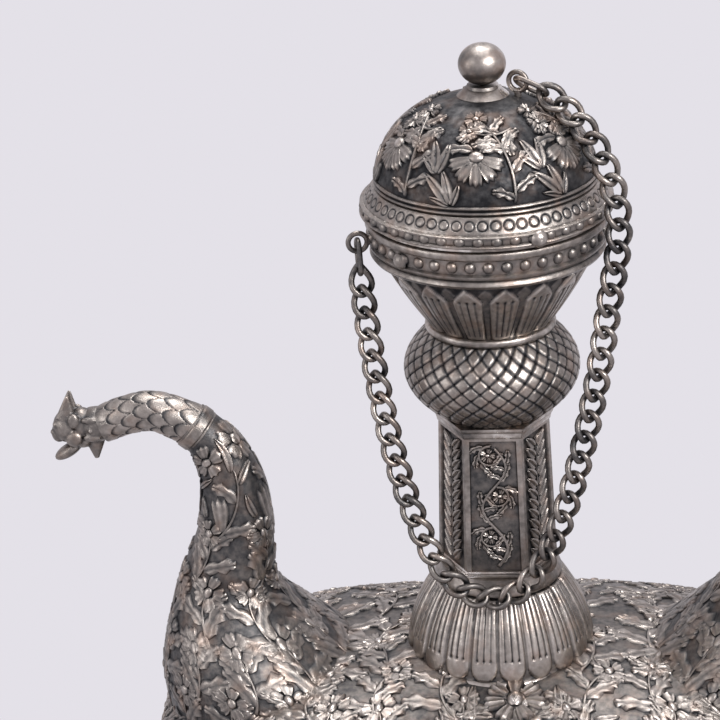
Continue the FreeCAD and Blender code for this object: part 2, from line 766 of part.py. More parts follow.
def main():
    os.makedirs("parts", exist_ok=True)
    makers = [
        foot_ring, foot_plate, body_lower, body_upper,
        neck_bell, neck_plinth, neck_column, neck_cornice, knop, knop_collar,
        cup, cup_rim_band, cup_rivet, cup_chain_eye,
        lid_seat_ring, lid_plug, lid_bead_band, lid_slope_ring, lid_dome,
        lid_rivet, lid_chain_eye, finial_stem, finial_ball,
        spout_root, spout_neck, spout_head, handle_root, handle_tail,
    ]
    for maker in makers:
        save(maker(), maker.__name__)
    band = collar_band()
    save(band, "spout_collar")
    save(mirrored(band), "handle_collar")
    for node, links in chain_pieces().items():
        save(Part.makeCompound(links), node)


main()
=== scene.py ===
# %% [markdown]
# A chased silver coffee pot.
# The solid model gives every piece its size and place. This lesson gives each of them
# its chased surface: leaves, flowers, petals, scales, beads and a real wire chain.

# %% Load the solid model
import json
import math
import random

import bmesh
import bpy
from mathutils import Matrix, Vector


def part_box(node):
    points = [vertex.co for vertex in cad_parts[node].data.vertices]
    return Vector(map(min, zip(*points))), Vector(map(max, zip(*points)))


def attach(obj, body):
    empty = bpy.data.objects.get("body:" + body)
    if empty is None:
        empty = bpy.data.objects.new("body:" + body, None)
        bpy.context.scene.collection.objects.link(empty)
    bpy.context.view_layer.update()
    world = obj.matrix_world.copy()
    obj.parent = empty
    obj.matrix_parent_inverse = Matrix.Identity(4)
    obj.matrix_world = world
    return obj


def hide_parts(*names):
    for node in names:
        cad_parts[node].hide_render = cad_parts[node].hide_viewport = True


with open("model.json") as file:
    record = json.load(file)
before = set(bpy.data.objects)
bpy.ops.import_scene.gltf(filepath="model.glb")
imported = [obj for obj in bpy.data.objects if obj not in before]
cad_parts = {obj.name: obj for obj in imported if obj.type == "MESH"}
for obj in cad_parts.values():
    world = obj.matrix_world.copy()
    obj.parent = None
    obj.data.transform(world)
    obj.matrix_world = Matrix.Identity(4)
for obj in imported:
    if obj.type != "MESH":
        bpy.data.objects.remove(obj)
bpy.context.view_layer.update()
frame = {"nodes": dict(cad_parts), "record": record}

MM = 0.001
TURN = 2 * math.pi

# %% [markdown]
# The camera stands where the photographer stood: a little to the right, looking down,
# with a long lens and a slight tilt of the head. The figures were fitted to the round lid,
# the cup and the corners of the column.

# %% Camera
CAMERA_PLACE = Vector((29.12, -731.27, 516.53)) * MM
CAMERA_YAW = math.radians(-5.5)
CAMERA_PITCH = math.radians(23.16)
CAMERA_ROLL = math.radians(-3.18)
CAMERA_LENS = 127.31
SENSOR_WIDTH = 36
NEAR_LIMIT = 0.01


def aim_camera():
    """Build the camera's axes from yaw, pitch and roll."""
    level = math.cos(CAMERA_PITCH)
    ahead = Vector((math.sin(CAMERA_YAW) * level, math.cos(CAMERA_YAW) * level, -math.sin(CAMERA_PITCH)))
    right = Vector((math.cos(CAMERA_YAW), -math.sin(CAMERA_YAW), 0))
    up = right.cross(ahead)
    side = right * math.cos(CAMERA_ROLL) + up * math.sin(CAMERA_ROLL)
    top = up * math.cos(CAMERA_ROLL) - right * math.sin(CAMERA_ROLL)
    axes = Matrix((side, top, -ahead)).transposed().to_4x4()
    return Matrix.Translation(CAMERA_PLACE) @ axes


camera_data = bpy.data.cameras.new("camera")
camera_data.lens = CAMERA_LENS
camera_data.sensor_width = SENSOR_WIDTH
camera_data.clip_start = NEAR_LIMIT
camera = bpy.data.objects.new("camera", camera_data)
camera.matrix_world = aim_camera()
bpy.context.scene.collection.objects.link(camera)
bpy.context.scene.camera = camera
print("camera at", [round(value, 3) for value in CAMERA_PLACE])

# %% [markdown]
# A pale studio: a wide floor and soft lamps. The world shows its pale lavender grey to the
# camera and in reflections, and lights the pot at a plain level.

# %% Studio
BACKDROP = (0.775, 0.753, 0.807)
GLOW = (0.80, 0.79, 0.82)
GLOW_POWER = 0.55
FLOOR_GREY = (0.6, 0.59, 0.61)
FLOOR_SIZE = 3.0
LAMP_TARGET = Vector((0, 0, 0.15))


def seen_ray(nodes, links):
    """1 for a ray from the camera, or one that metal or glass sends on, and 0 for light."""
    path = nodes.new("ShaderNodeLightPath")
    either = nodes.new("ShaderNodeMath")
    either.operation = "MAXIMUM"
    links.new(path.outputs["Is Camera Ray"], either.inputs[0])
    links.new(path.outputs["Is Glossy Ray"], either.inputs[1])
    all_three = nodes.new("ShaderNodeMath")
    all_three.operation = "MAXIMUM"
    links.new(either.outputs[0], all_three.inputs[0])
    links.new(path.outputs["Is Transmission Ray"], all_three.inputs[1])
    return all_three.outputs[0]


def studio_world():
    """Pale to the eye and in the metal, quieter as a light."""
    world = bpy.data.worlds.new("studio")
    world.use_nodes = True
    nodes, links = world.node_tree.nodes, world.node_tree.links
    nodes.clear()
    seen = nodes.new("ShaderNodeBackground")
    seen.inputs["Color"].default_value = (*BACKDROP, 1)
    glow = nodes.new("ShaderNodeBackground")
    glow.inputs["Color"].default_value = (*GLOW, 1)
    glow.inputs["Strength"].default_value = GLOW_POWER
    mix = nodes.new("ShaderNodeMixShader")
    links.new(seen_ray(nodes, links), mix.inputs[0])
    links.new(glow.outputs[0], mix.inputs[1])
    links.new(seen.outputs[0], mix.inputs[2])
    out = nodes.new("ShaderNodeOutputWorld")
    links.new(mix.outputs[0], out.inputs[0])
    bpy.context.scene.world = world


def soft_lamp(name, place, power, size):
    """A square soft lamp that looks at the neck of the pot."""
    data = bpy.data.lights.new(name, "AREA")
    data.energy = power
    data.size = size
    lamp = bpy.data.objects.new(name, data)
    lamp.location = place
    lamp.rotation_euler = (LAMP_TARGET - Vector(place)).to_track_quat("-Z", "Y").to_euler()
    bpy.context.scene.collection.objects.link(lamp)


def studio_floor():
    """A wide matt floor that takes the pot's shadow and looks as pale as the world."""
    mesh = bpy.data.meshes.new("floor")
    bm = bmesh.new()
    bmesh.ops.create_grid(bm, x_segments=1, y_segments=1, size=FLOOR_SIZE)
    bm.to_mesh(mesh)
    bm.free()
    floor = bpy.data.objects.new("floor", mesh)
    bpy.context.scene.collection.objects.link(floor)
    material = bpy.data.materials.new("pale_floor")
    material.use_nodes = True
    nodes, links = material.node_tree.nodes, material.node_tree.links
    nodes.clear()
    matt = nodes.new("ShaderNodeBsdfDiffuse")
    matt.inputs["Color"].default_value = (*FLOOR_GREY, 1)
    pale = nodes.new("ShaderNodeEmission")
    pale.inputs["Color"].default_value = (*BACKDROP, 1)
    mix = nodes.new("ShaderNodeMixShader")
    links.new(seen_ray(nodes, links), mix.inputs[0])
    links.new(matt.outputs[0], mix.inputs[1])
    links.new(pale.outputs[0], mix.inputs[2])
    links.new(mix.outputs[0], nodes.new("ShaderNodeOutputMaterial").inputs[0])
    mesh.materials.append(material)


studio_world()
studio_floor()
soft_lamp("key_lamp", (0.70, -0.80, 1.0), power=19, size=0.42)
soft_lamp("fill_lamp", (-0.9, -0.5, 0.55), power=3, size=0.6)
soft_lamp("top_lamp", (0.0, 0.25, 1.1), power=9, size=0.6)
bpy.context.scene.view_settings.view_transform = "Standard"

# %% [markdown]
# The finish is silver plate, blackened and then rubbed. Black stays in the hollows, the
# high spots come back bright, and a little copper shows through where it was rubbed most.
# Every chased piece carries a number at each point, called worn, that says how high it
# stands, and the finish reads it. Plain pieces have no such number and take one level.

# %% Parts of the finish
TARNISH = [
    (0.00, (0.020, 0.020, 0.022)),
    (0.22, (0.075, 0.073, 0.074)),
    (0.50, (0.210, 0.188, 0.172)),
    (0.78, (0.420, 0.378, 0.345)),
    (1.00, (0.740, 0.700, 0.660)),
]
COPPER = (0.36, 0.235, 0.170, 1)
CLOUDS = (70, 4)
SPECKS = (520, 5)
GRAINS = (2600, 2)
BLUSHES = (160, 3)
SPECK_GAIN = 0.55
HOLLOW_REACH = 1.8
HOLLOW_BLACK = 0.52
HOLLOW_SAMPLES = 6
GRAIN_HIGH = 0.12


def number(nodes, links, kind, first, second):
    """One arithmetic step between two sockets or a socket and a number."""
    node = nodes.new("ShaderNodeMath")
    node.operation = kind
    for index, value in enumerate((first, second)):
        if isinstance(value, (int, float)):
            node.inputs[index].default_value = value
        else:
            links.new(value, node.inputs[index])
    return node.outputs[0]


def swing(nodes, links, value, middle, gain):
    """How far a value is from its middle, made stronger or weaker."""
    return number(nodes, links, "MULTIPLY", number(nodes, links, "SUBTRACT", value, middle), gain)


def mottle(nodes, links, where, scale, detail):
    """Cloudy spots, about 0 to 1, whose size falls as the scale grows."""
    noise = nodes.new("ShaderNodeTexNoise")
    noise.inputs["Scale"].default_value = scale
    noise.inputs["Detail"].default_value = detail
    links.new(where, noise.inputs["Vector"])
    return noise.outputs["Fac"]


def fit_range(nodes, links, value, limits):
    """Stretch a value between named limits."""
    node = nodes.new("ShaderNodeMapRange")
    for socket, limit in limits.items():
        node.inputs[socket].default_value = limit
    links.new(value, node.inputs["Value"])
    return node.outputs["Result"]


def tarnish_colour(nodes, links, shade):
    """From black in the hollows to bright silver on the high spots."""
    ramp = nodes.new("ShaderNodeValToRGB")
    while len(ramp.color_ramp.elements) < len(TARNISH):
        ramp.color_ramp.elements.new(0.5)
    for element, (place, colour) in zip(ramp.color_ramp.elements, TARNISH):
        element.position = place
        element.color = (*colour, 1)
    links.new(shade, ramp.inputs["Fac"])
    return ramp.outputs["Color"]


def black_hollows(nodes, links):
    """Below 0 where the piece's own walls stand close, and 0 in the open."""
    hollow = nodes.new("ShaderNodeAmbientOcclusion")
    hollow.only_local = True
    hollow.samples = HOLLOW_SAMPLES
    hollow.inputs["Distance"].default_value = HOLLOW_REACH * MM
    return swing(nodes, links, hollow.outputs["AO"], 1.0, HOLLOW_BLACK)


# %% [markdown]
# The shade of a point is its height plus patches, specks and the black of its hollow. It sets
# the colour, and how rough the metal is. A fine grain keeps the metal from looking poured.
# The pieces differ only in how bright they were rubbed, how patchy they are, and a lift that
# lightens or darkens the whole piece; on the horns that lift is painted shade.

# %% Finishes
BLUSH_RANGE = {"From Min": 0.50, "From Max": 0.72, "To Max": 0.55}
ROUGH_RANGE = {"To Min": 0.58, "To Max": 0.22}


def rubbed_silver(name, level=None, patchy=0.5, grain=0.6, lift=0.0):
    """Blackened silver, rubbed bright where worn is high, or at one level all over."""
    material = bpy.data.materials.new(name)
    material.use_nodes = True
    nodes, links = material.node_tree.nodes, material.node_tree.links
    shader = nodes["Principled BSDF"]
    shader.inputs["Metallic"].default_value = 1.0
    where = nodes.new("ShaderNodeTexCoord").outputs["Object"]
    clouds = mottle(nodes, links, where, *CLOUDS)
    specks = mottle(nodes, links, where, *SPECKS)
    grains = mottle(nodes, links, where, *GRAINS)
    if level is None:
        attribute = nodes.new("ShaderNodeAttribute")
        attribute.attribute_name = "worn"
        height = attribute.outputs["Fac"]
    else:
        height = number(nodes, links, "MULTIPLY", clouds, 2 * level)
    shade = number(nodes, links, "ADD", height, swing(nodes, links, clouds, 0.5, patchy))
    shade = number(nodes, links, "ADD", shade, swing(nodes, links, specks, 0.5, SPECK_GAIN))
    shade = number(nodes, links, "ADD", shade, black_hollows(nodes, links))
    # lift lightens or darkens the whole piece; the horns' darker lift is painted shade
    shade = number(nodes, links, "ADD", shade, lift)
    blushes = mottle(nodes, links, where, *BLUSHES)
    warm = fit_range(nodes, links, blushes, BLUSH_RANGE)
    mix = nodes.new("ShaderNodeMix")
    mix.data_type = "RGBA"
    links.new(number(nodes, links, "MULTIPLY", warm, height), mix.inputs[0])
    links.new(tarnish_colour(nodes, links, shade), mix.inputs[6])
    mix.inputs[7].default_value = COPPER
    links.new(mix.outputs[2], shader.inputs["Base Color"])
    rough = fit_range(nodes, links, shade, ROUGH_RANGE)
    links.new(rough, shader.inputs["Roughness"])
    bump = nodes.new("ShaderNodeBump")
    bump.inputs["Strength"].default_value = grain
    bump.inputs["Distance"].default_value = GRAIN_HIGH * MM
    links.new(number(nodes, links, "ADD", specks, grains), bump.inputs["Height"])
    links.new(bump.outputs["Normal"], shader.inputs["Normal"])
    return material


CHASED = rubbed_silver("chased_silver")
# A darker copy of the chased finish: its lift paints shade on the horns, and the dome takes it too.
DARK_SILVER = rubbed_silver("dark_silver", lift=-0.12)
BELL_SILVER = rubbed_silver("bell_silver", lift=0.06)
PLAIN = rubbed_silver("plain_silver", level=0.62, patchy=0.7)
WIRE = rubbed_silver("chain_wire", level=0.44, patchy=0.4, grain=0.35)
HIDDEN = rubbed_silver("inside_silver", level=0.30)
SLOT_FINISH = {"chased_silver": CHASED, "plain_silver": PLAIN, "chain": WIRE}
print("finishes", sorted(SLOT_FINISH))

# %% [markdown]
# Every solid first gets its slot's finish. Pieces that are modelled again below hide
# their solid; rivets, seats and the plug under the lid keep theirs.

# %% Dress the solids
for entry in frame["record"]["subparts"]:
    solid = frame["nodes"][entry["node"]]
    finish = HIDDEN if entry["material_slot"] == "chased_silver" else SLOT_FINISH[entry["material_slot"]]
    solid.data.materials.clear()
    solid.data.materials.append(finish)
print("dressed", len(frame["nodes"]), "solids")

# %% [markdown]
# Chased work starts as a plain sheet that is pushed out from behind and punched from the
# front. Here a flat grid plays the sheet: it is bent into the piece, and each of its points
# is moved in or out by the pattern. The same point keeps its worn number for the finish.

# %% Bending a sheet into a piece
FOLD_GAP = 0.001
MERGE_GAP = 0.002


def sheet_start():
    """An empty mesh whose points can carry the worn number."""
    bm = bmesh.new()
    bm.verts.layers.float.new("worn")
    return bm


def bend_sheet(bm, rows, columns, place):
    """Bend a grid into shape: place(along, around) gives a point and its worn number."""
    worn = bm.verts.layers.float["worn"]
    made = bmesh.ops.create_grid(bm, x_segments=rows, y_segments=columns, size=0.5)["verts"]
    for vert in made:
        vert.co, vert[worn] = place(vert.co.x + 0.5, vert.co.y + 0.5)
    bmesh.ops.remove_doubles(bm, verts=made, dist=MERGE_GAP * MM)


def fold_back(along, outside):
    """Fold a sheet over at its top: how far up a place lies, and whether it is on the inside."""
    if along <= outside:
        return along / outside, False
    return (1 - along) / (1 - outside), outside + FOLD_GAP < along < 1 - FOLD_GAP


def finish_piece(bm, name, body, nodes, finish, crease=50):
    """Turn the mesh into a named piece that rides on its body in place of its solids."""
    mesh = bpy.data.meshes.new(name)
    bm.to_mesh(mesh)
    bm.free()
    mesh.shade_smooth()
    mesh.set_sharp_from_angle(angle=math.radians(crease))
    mesh.materials.append(finish)
    piece = bpy.data.objects.new(name, mesh)
    bpy.context.scene.collection.objects.link(piece)
    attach(piece, body)
    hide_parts(*nodes)
    size = [round(value / MM, 1) for value in piece.dimensions]
    print(name, len(mesh.polygons), "faces,", size, "mm")


def close_outward(bm):
    """Point every face of a closed shape outwards."""
    bmesh.ops.recalc_face_normals(bm, faces=bm.faces[:])


def height_of(node):
    """The lowest and highest level of a solid, in millimetres."""
    low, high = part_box(node)
    return low.z / MM, high.z / MM


# %% [markdown]
# The turned pieces of the neck are lines spun round its axis. A line here is a list of
# (radius, height) corners, and a soft line is the smooth curve through three of them.

# %% Turning
TURN_STEPS = 144
LAST_SHARE = 0.999999
INSIDE_WORN = 0.3
SEAM_WORN = 0.1


def soft_line(first, middle, last, count):
    """Points of the smooth curve through three (radius, height) places."""
    lower = math.dist(first, middle)
    share = lower / (lower + math.dist(middle, last))
    points = []
    for step in range(count + 1):
        t = step / count
        a = (t - share) * (t - 1) / share
        b = t * (t - 1) / (share * (share - 1))
        c = t * (t - share) / (1 - share)
        points.append(tuple(a * first[k] + b * middle[k] + c * last[k] for k in range(2)))
    return points


def on_line(points, share):
    """The place and outward direction at a share of the way along a line."""
    step = min(share, LAST_SHARE) * (len(points) - 1)
    index = int(step)
    near, far = points[index], points[index + 1]
    rest = step - index
    radius = near[0] + (far[0] - near[0]) * rest
    height = near[1] + (far[1] - near[1]) * rest
    run, rise = far[0] - near[0], far[1] - near[1]
    length = math.hypot(run, rise)
    return radius, height, rise / length, -run / length


def raised(corners, height):
    """A line of (radius, height) corners, lifted to its place on the pot."""
    return [(radius, rise + height) for radius, rise in corners]


def turn_line(bm, corners, level):
    """Spin a closed line of (radius, height) corners round the neck axis."""
    worn = bm.verts.layers.float["worn"]
    line = [bm.verts.new((radius * MM, 0, height * MM)) for radius, height in corners]
    for vert in line:
        vert[worn] = level
    edges = [bm.edges.new(pair) for pair in zip(line, line[1:] + line[:1])]
    bmesh.ops.spin(bm, geom=line + edges, cent=(0, 0, 0), axis=(0, 0, 1), angle=TURN,
                   steps=TURN_STEPS, use_merge=True)
    bmesh.ops.remove_doubles(bm, verts=bm.verts[:], dist=MERGE_GAP * MM)


def wall_sheet(bm, outer, wall, rows, columns, pattern, inner_rows=6):
    """A turned wall with a chased outside: the sheet goes up the outside and back down the inside."""
    share_outside = rows / (rows + inner_rows)
    inner = [(radius - wall, height) for radius, height in outer]

    def place(along, around):
        angle = TURN * around
        if along <= share_outside:
            share = along / share_outside
            radius, height, out, up = on_line(outer, share)
            lift, worn = pattern(angle, share, radius, height)
            edge = min(1.0, share * rows / 2, (1 - share) * rows / 2)
            radius += out * lift * edge
            height += up * lift * edge
        else:
            back = (1 - along) / (1 - share_outside)
            radius, height, out, up = on_line(inner, back)
            worn = INSIDE_WORN
            if along > LAST_SHARE:
                radius, height, worn = outer[0][0], outer[0][1], SEAM_WORN
        return Vector((radius * math.cos(angle), radius * math.sin(angle), height)) * MM, worn

    bend_sheet(bm, rows + inner_rows, columns, place)
    close_outward(bm)


# %% [markdown]
# The lotus bell spreads the neck over the shoulder. Its round-ended petals hang down, each
# engraved with three lines that end in punched dots. The bell is one bent sheet, so a petal
# is only a pattern of heights on it. A turned cap and a turned hem close its ends.

# %% Lotus bell
BELL_PETALS = 20
SHEET_WALL = 1.4
PETAL_SINK = 0.45
PETAL_RISE = 0.80
PETAL_CROWN = 0.35
LINE_WIDE = 0.22
LINE_DEEP = 0.30
DOT_R = 0.42
DOT_DEEP = 0.40
SHOULDER_TOP = height_of("body_upper")[1]
COLUMN_FOOT = height_of("neck_column")[0]
BELL_LINE = soft_line((29.9, SHOULDER_TOP - 2.4), (26.7, SHOULDER_TOP + 11),
                      (20.2, SHOULDER_TOP + 22.5), 40)
BELL_CAP = [(20.2, -5.5), (20.5, -4.6), (20.2, -3.6), (19.4, -2.2), (19.0, 0.0), (11.0, 0.0), (11.0, -1.4),
            (17.6, -1.4), (18.8, -5.5)]
BELL_HEM = [(29.4, -1.9), (30.4, -2.3), (31.2, -3.2), (31.3, -5.2), (28.0, -5.2), (28.0, -1.9)]


def dip(distance, width):
    """1 on a tool line, fading to 0 at about its width."""
    return math.exp(-(distance / width) ** 2)


def petal_edge(across, reach, pitch, point, fill, sharp):
    """How far inside a petal's outline a place is, in millimetres."""
    half = fill
    if reach > 1 - point:
        half *= max(0.0, 1 - ((reach - 1 + point) / point) ** sharp) ** (1 / sharp)
    return (half - abs(across)) * pitch


def petal(across, reach, pitch, point, fill, sharp, lines, line_start, line_end):
    """Petals in two rows: across is -0.5 to 0.5 of the pitch, reach is 0 at a root and 1 at a tip."""
    inside = petal_edge(across, reach, pitch, point, fill, sharp)
    if inside <= 0:
        behind = petal_edge((across + 1) % 1 - 0.5, reach, pitch, point * 0.55, fill - 0.2, sharp)
        behind = max(behind, 0)
        return -PETAL_SINK + 0.2 * (1 - dip(behind, 0.4)), 0.08 + 0.30 * min(1.0, behind / 0.6)
    body = 1 - dip(inside, 0.42)
    crown = 1 - (across / 0.5) ** 2
    height = -PETAL_SINK + PETAL_RISE * body + PETAL_CROWN * crown * body
    worn = 0.14 + 0.50 * body + 0.22 * dip(inside - 0.45, 0.3)
    for offset in lines:
        beside = (across - offset) * pitch
        if line_start < reach < line_end:
            cut = dip(beside, LINE_WIDE)
            height -= LINE_DEEP * cut
            worn -= 0.45 * cut
        dot = dip(math.hypot(beside, (reach - line_end) * 22), DOT_R)
        height -= DOT_DEEP * dot
        worn -= 0.5 * dot
    return height, max(worn, 0.05)


def bell_petals(angle, share, radius, height):
    """Round-ended petals whose tips point down."""
    across = angle / TURN * BELL_PETALS % 1 - 0.5
    pitch = TURN * radius / BELL_PETALS
    return petal(across, 1 - share, pitch, point=0.17, fill=0.49, sharp=2.0,
                 lines=(-0.24, 0, 0.24), line_start=0.04, line_end=0.74)


bell = sheet_start()
wall_sheet(bell, BELL_LINE, SHEET_WALL, rows=64, columns=480, pattern=bell_petals)
turn_line(bell, raised(BELL_CAP, COLUMN_FOOT), 0.5)
turn_line(bell, raised(BELL_HEM, SHOULDER_TOP), 0.72)
close_outward(bell)
finish_piece(bell, "lotus_bell", "pot", ["neck_bell"], BELL_SILVER)

# %% [markdown]
# The knop is a hollow ball, hatched all over with crossing chisel lines that leave small
# lozenges between them. The lines are two sets of spirals that run opposite ways, and the
# sheet is cut in wherever either set passes.

# %% Hatched knop
KNOP_FOOT, KNOP_TOP = height_of("knop")
KNOP_LOZENGES = 30
KNOP_RISE = 6.0
HATCH_WIDE = 0.46
HATCH_DEEP = 0.5
KNOP_LINE = soft_line((15.6, KNOP_FOOT), (27.3, KNOP_FOOT + 16), (19.2, KNOP_TOP), 60)


def knop_hatching(angle, share, radius, height):
    """Lozenges between two sets of crossing lines."""
    turns = angle / TURN * KNOP_LOZENGES
    pitch = TURN * radius / KNOP_LOZENGES
    rise = share * KNOP_RISE
    lift, worn = 0.25, 0.58
    for line in (turns + rise, turns - rise):
        beside = (line % 1 - 0.5) * pitch
        cut = dip(beside, HATCH_WIDE)
        lift -= HATCH_DEEP * cut
        worn -= 0.44 * cut
    return lift, max(worn, 0.06)


knop = sheet_start()
wall_sheet(knop, KNOP_LINE, SHEET_WALL, rows=96, columns=480, pattern=knop_hatching)
finish_piece(knop, "hatched_knop", "pot", ["knop"], CHASED)

# %% [markdown]
# A plain polished ring joins the knop to the cup. The cup's petals stand with their pointed
# tips up, again with three engraved lines and dots. The ring is turned, and the cup is bent
# from a sheet like the bell.

# %% Collar ring and cup
CUP_FOOT, CUP_TOP = height_of("cup")
CUP_PETALS = 16
CUP_LINE = soft_line((18.4, CUP_FOOT), (25.2, CUP_FOOT + 10), (32.4, CUP_TOP), 40)
COLLAR_LOWER = [(17.0, 0.0), (19.8, 0.0), (20.25, 0.45), (20.4, 1.2)]
COLLAR_UPPER = [(20.25, -0.45), (19.8, 0.0), (17.0, 0.0)]


def cup_petals(angle, share, radius, height):
    """Pointed petals that grow wider towards their tips, which end just under the rim."""
    across = angle / TURN * CUP_PETALS % 1 - 0.5
    pitch = TURN * radius / CUP_PETALS
    fill = 0.41 + 0.03 * share
    return petal(across, share * 1.08, pitch, point=0.24, fill=fill, sharp=1.15,
                 lines=(-0.2, 0, 0.2), line_start=0.10, line_end=0.78)


collar = sheet_start()
turn_line(collar, raised(COLLAR_LOWER, KNOP_TOP) + raised(COLLAR_UPPER, CUP_FOOT), 0.85)
close_outward(collar)
finish_piece(collar, "knop_ring", "pot", ["knop_collar"], PLAIN)
cup = sheet_start()
wall_sheet(cup, CUP_LINE, SHEET_WALL, rows=64, columns=512, pattern=cup_petals)
finish_piece(cup, "petal_cup", "pot", ["cup"], CHASED)

# %% [markdown]
# The rim band and the lid's edge both carry a row of small beads between two ridges. A bead
# is a ball of few faces, because there are so many of them.

# %% Beaded bands
RIM_FOOT, RIM_TOP = height_of("cup_rim_band")
BAND_FOOT, BAND_TOP = height_of("lid_bead_band")
BEAD_PITCH = 5.4
RIM_LOWER = [(31.0, 0.0), (34.6, -0.2), (35.7, 0.3), (36.3, 1.2), (36.0, 2.2), (35.3, 2.6), (36.2, 3.4),
             (36.4, 4.2), (35.6, 4.8), (36.1, 9.0), (37.1, 9.6), (37.4, 10.4)]
RIM_UPPER = [(37.4, -0.4), (37.0, 0.0), (35.2, 0.0)]
RIM_INSIDE = [(33.4, 1.4), (31.0, 1.4)]
BAND_LOWER = [(34.6, 0.0), (38.4, 0.0), (38.9, 0.4), (38.6, 0.9), (37.9, 1.1)]
BAND_UPPER = [(37.9, -1.0), (38.5, -0.8), (38.6, -0.3), (38.0, 0.0), (34.6, 0.0)]


def bead_row(bm, radius, height, bead_r, squeeze):
    """A ring of beads, sunk in the band to more than their middles."""
    worn = bm.verts.layers.float["worn"]
    count = round(TURN * radius / BEAD_PITCH)
    for index in range(count):
        angle = TURN * index / count
        made = bmesh.ops.create_icosphere(bm, subdivisions=2, radius=bead_r * MM)["verts"]
        middle = Vector((radius * math.cos(angle), radius * math.sin(angle), height)) * MM
        for vert in made:
            vert[worn] = 0.42 + 0.22 * vert.co.normalized().dot(middle.normalized())
            vert.co.z *= squeeze
            vert.co += middle


rim = sheet_start()
rim_line = raised(RIM_LOWER, RIM_FOOT) + raised(RIM_UPPER, RIM_TOP) + raised(RIM_INSIDE, RIM_FOOT)
turn_line(rim, rim_line, 0.55)
close_outward(rim)
bead_row(rim, radius=35.35, height=RIM_FOOT + 7.0, bead_r=1.9, squeeze=1.05)
finish_piece(rim, "beaded_rim", "pot", ["cup_rim_band"], CHASED)
band = sheet_start()
turn_line(band, raised(BAND_LOWER, BAND_FOOT) + raised(BAND_UPPER, BAND_TOP), 0.55)
close_outward(band)
bead_row(band, radius=36.75, height=(BAND_FOOT + BAND_TOP) / 2, bead_r=2.2, squeeze=1.0)
finish_piece(band, "beaded_lid_edge", "lid", ["lid_bead_band"], CHASED)

# %% [markdown]
# Above the beads a sloping ring carries one row of circles, all struck with the same ring
# punch. Each blow leaves a groove round a small raised disc.

# %% Stamped ring
SLOPE_FOOT, SLOPE_TOP = height_of("lid_slope_ring")
RING_PUNCHES = 58
PUNCH_R = 1.5
PUNCH_WIDE = 0.24
PUNCH_DEEP = 0.35
SLOPE_WALL = 2.0
SLOPE_LINE = [(37.3, SLOPE_FOOT), (34.3, SLOPE_TOP)]
SLOPE_LONG = math.dist(*SLOPE_LINE)


def ring_punches(angle, share, radius, height):
    """A groove for each blow of the punch, round a raised disc."""
    turns = angle / TURN * RING_PUNCHES
    beside = (turns % 1 - 0.5) * TURN * radius / RING_PUNCHES
    away = math.hypot(beside, (share - 0.5) * SLOPE_LONG)
    struck = dip(away - PUNCH_R, PUNCH_WIDE)
    lift = 0.15 - PUNCH_DEEP * struck + 0.1 * dip(away, 0.8)
    return lift, max(0.56 - 0.40 * struck, 0.06)


slope = sheet_start()
wall_sheet(slope, SLOPE_LINE, SLOPE_WALL, rows=24, columns=900, pattern=ring_punches, inner_rows=2)
finish_piece(slope, "stamped_ring", "lid", ["lid_slope_ring"], CHASED)

# %% [markdown]
# The leaves and flowers are the same few shapes, used over and over as a chaser uses a few
# punches. Each is drawn once on a flat grid, one unit long, with its edge sunk below the
# ground and grooves for its veins. It is then bent, sized and laid on a curved piece.

# %% Leaf and flower shapes
EDGE_SINK = -0.35


def flat_shape(name, rows, columns, place):
    """A small flat grid, moved into a leaf by place(along, across)."""
    bm = sheet_start()
    worn = bm.verts.layers.float["worn"]
    made = bmesh.ops.create_grid(bm, x_segments=rows, y_segments=columns, size=1)["verts"]
    for vert in made:
        along, across = (vert.co.x + 1) / 2, vert.co.y
        x, y, height = place(along, across)
        if max(abs(across), abs(2 * along - 1)) > 0.999:
            height = EDGE_SINK
        vert.co = (x, y, height)
        vert[worn] = min(0.95, max(0.04, 0.12 + 0.62 * height))
    mesh = bpy.data.meshes.new(name)
    bm.to_mesh(mesh)
    bm.free()
    return mesh


def plain_leaf(along, across):
    """A pointed leaf with one groove down its middle."""
    half = 0.5 * math.sin(math.pi * along ** 0.75) ** 0.8
    height = 0.35 + 0.65 * (1 - across ** 2) ** 0.5 - 0.5 * dip(across, 0.22)
    return along, half * across, height


def feathered_leaf(along, across):
    """A pointed leaf cut into three lobes a side that sweep forward."""
    side = abs(across)
    lobe = 0.5 - 0.5 * math.cos(TURN * 3 * along)
    half = 0.5 * math.sin(math.pi * along ** 0.75) ** 0.75 * (0.56 + 0.44 * lobe)
    forward = along + 0.26 * side * math.sin(math.pi * along)
    height = 0.40 + 0.5 * (1 - across ** 2) ** 0.5
    height += 0.35 * (lobe - 0.5) * side - 0.40 * dip(across, 0.12)
    return forward, half * across, height


def notched_petal(along, across):
    """A petal that widens to a notched end, with three ridges."""
    half = 0.5 * (0.30 + 0.70 * math.sin(math.pi / 2 * min(1.0, along / 0.8)))
    end = 1 - 0.16 * across ** 2 - 0.10 * (0.5 - 0.5 * math.cos(TURN * 1.5 * across))
    ridges = 0.5 + 0.5 * math.cos(TURN * 1.5 * across)
    height = 0.25 + 0.45 * (1 - across ** 2) ** 0.5 + 0.45 * ridges * along ** 0.5
    return along * end, half * across, height


def boss_shape(along, across):
    """A round boss."""
    angle = math.pi * (along - 0.5)
    half = 0.5 * math.cos(angle)
    height = 1.2 * max(0.0, math.cos(angle) * (1 - across ** 2)) ** 0.5
    return 0.5 * math.sin(angle), half * across, height


LEAF = flat_shape("plain_leaf", 8, 6, plain_leaf)
FEATHER = flat_shape("feathered_leaf", 12, 6, feathered_leaf)
PETAL = flat_shape("notched_petal", 6, 6, notched_petal)
BOSS = flat_shape("boss", 6, 6, boss_shape)
print("faces of a leaf", len(LEAF.polygons), "and of a feathered leaf", len(FEATHER.polygons))

# %% [markdown]
# A chaser draws the stem first, hangs leaves on it and ends it with a flower. The same is done
# here. Each point of a shape asks the piece below it where it falls, so that every leaf lies
# on the curve of the wall.

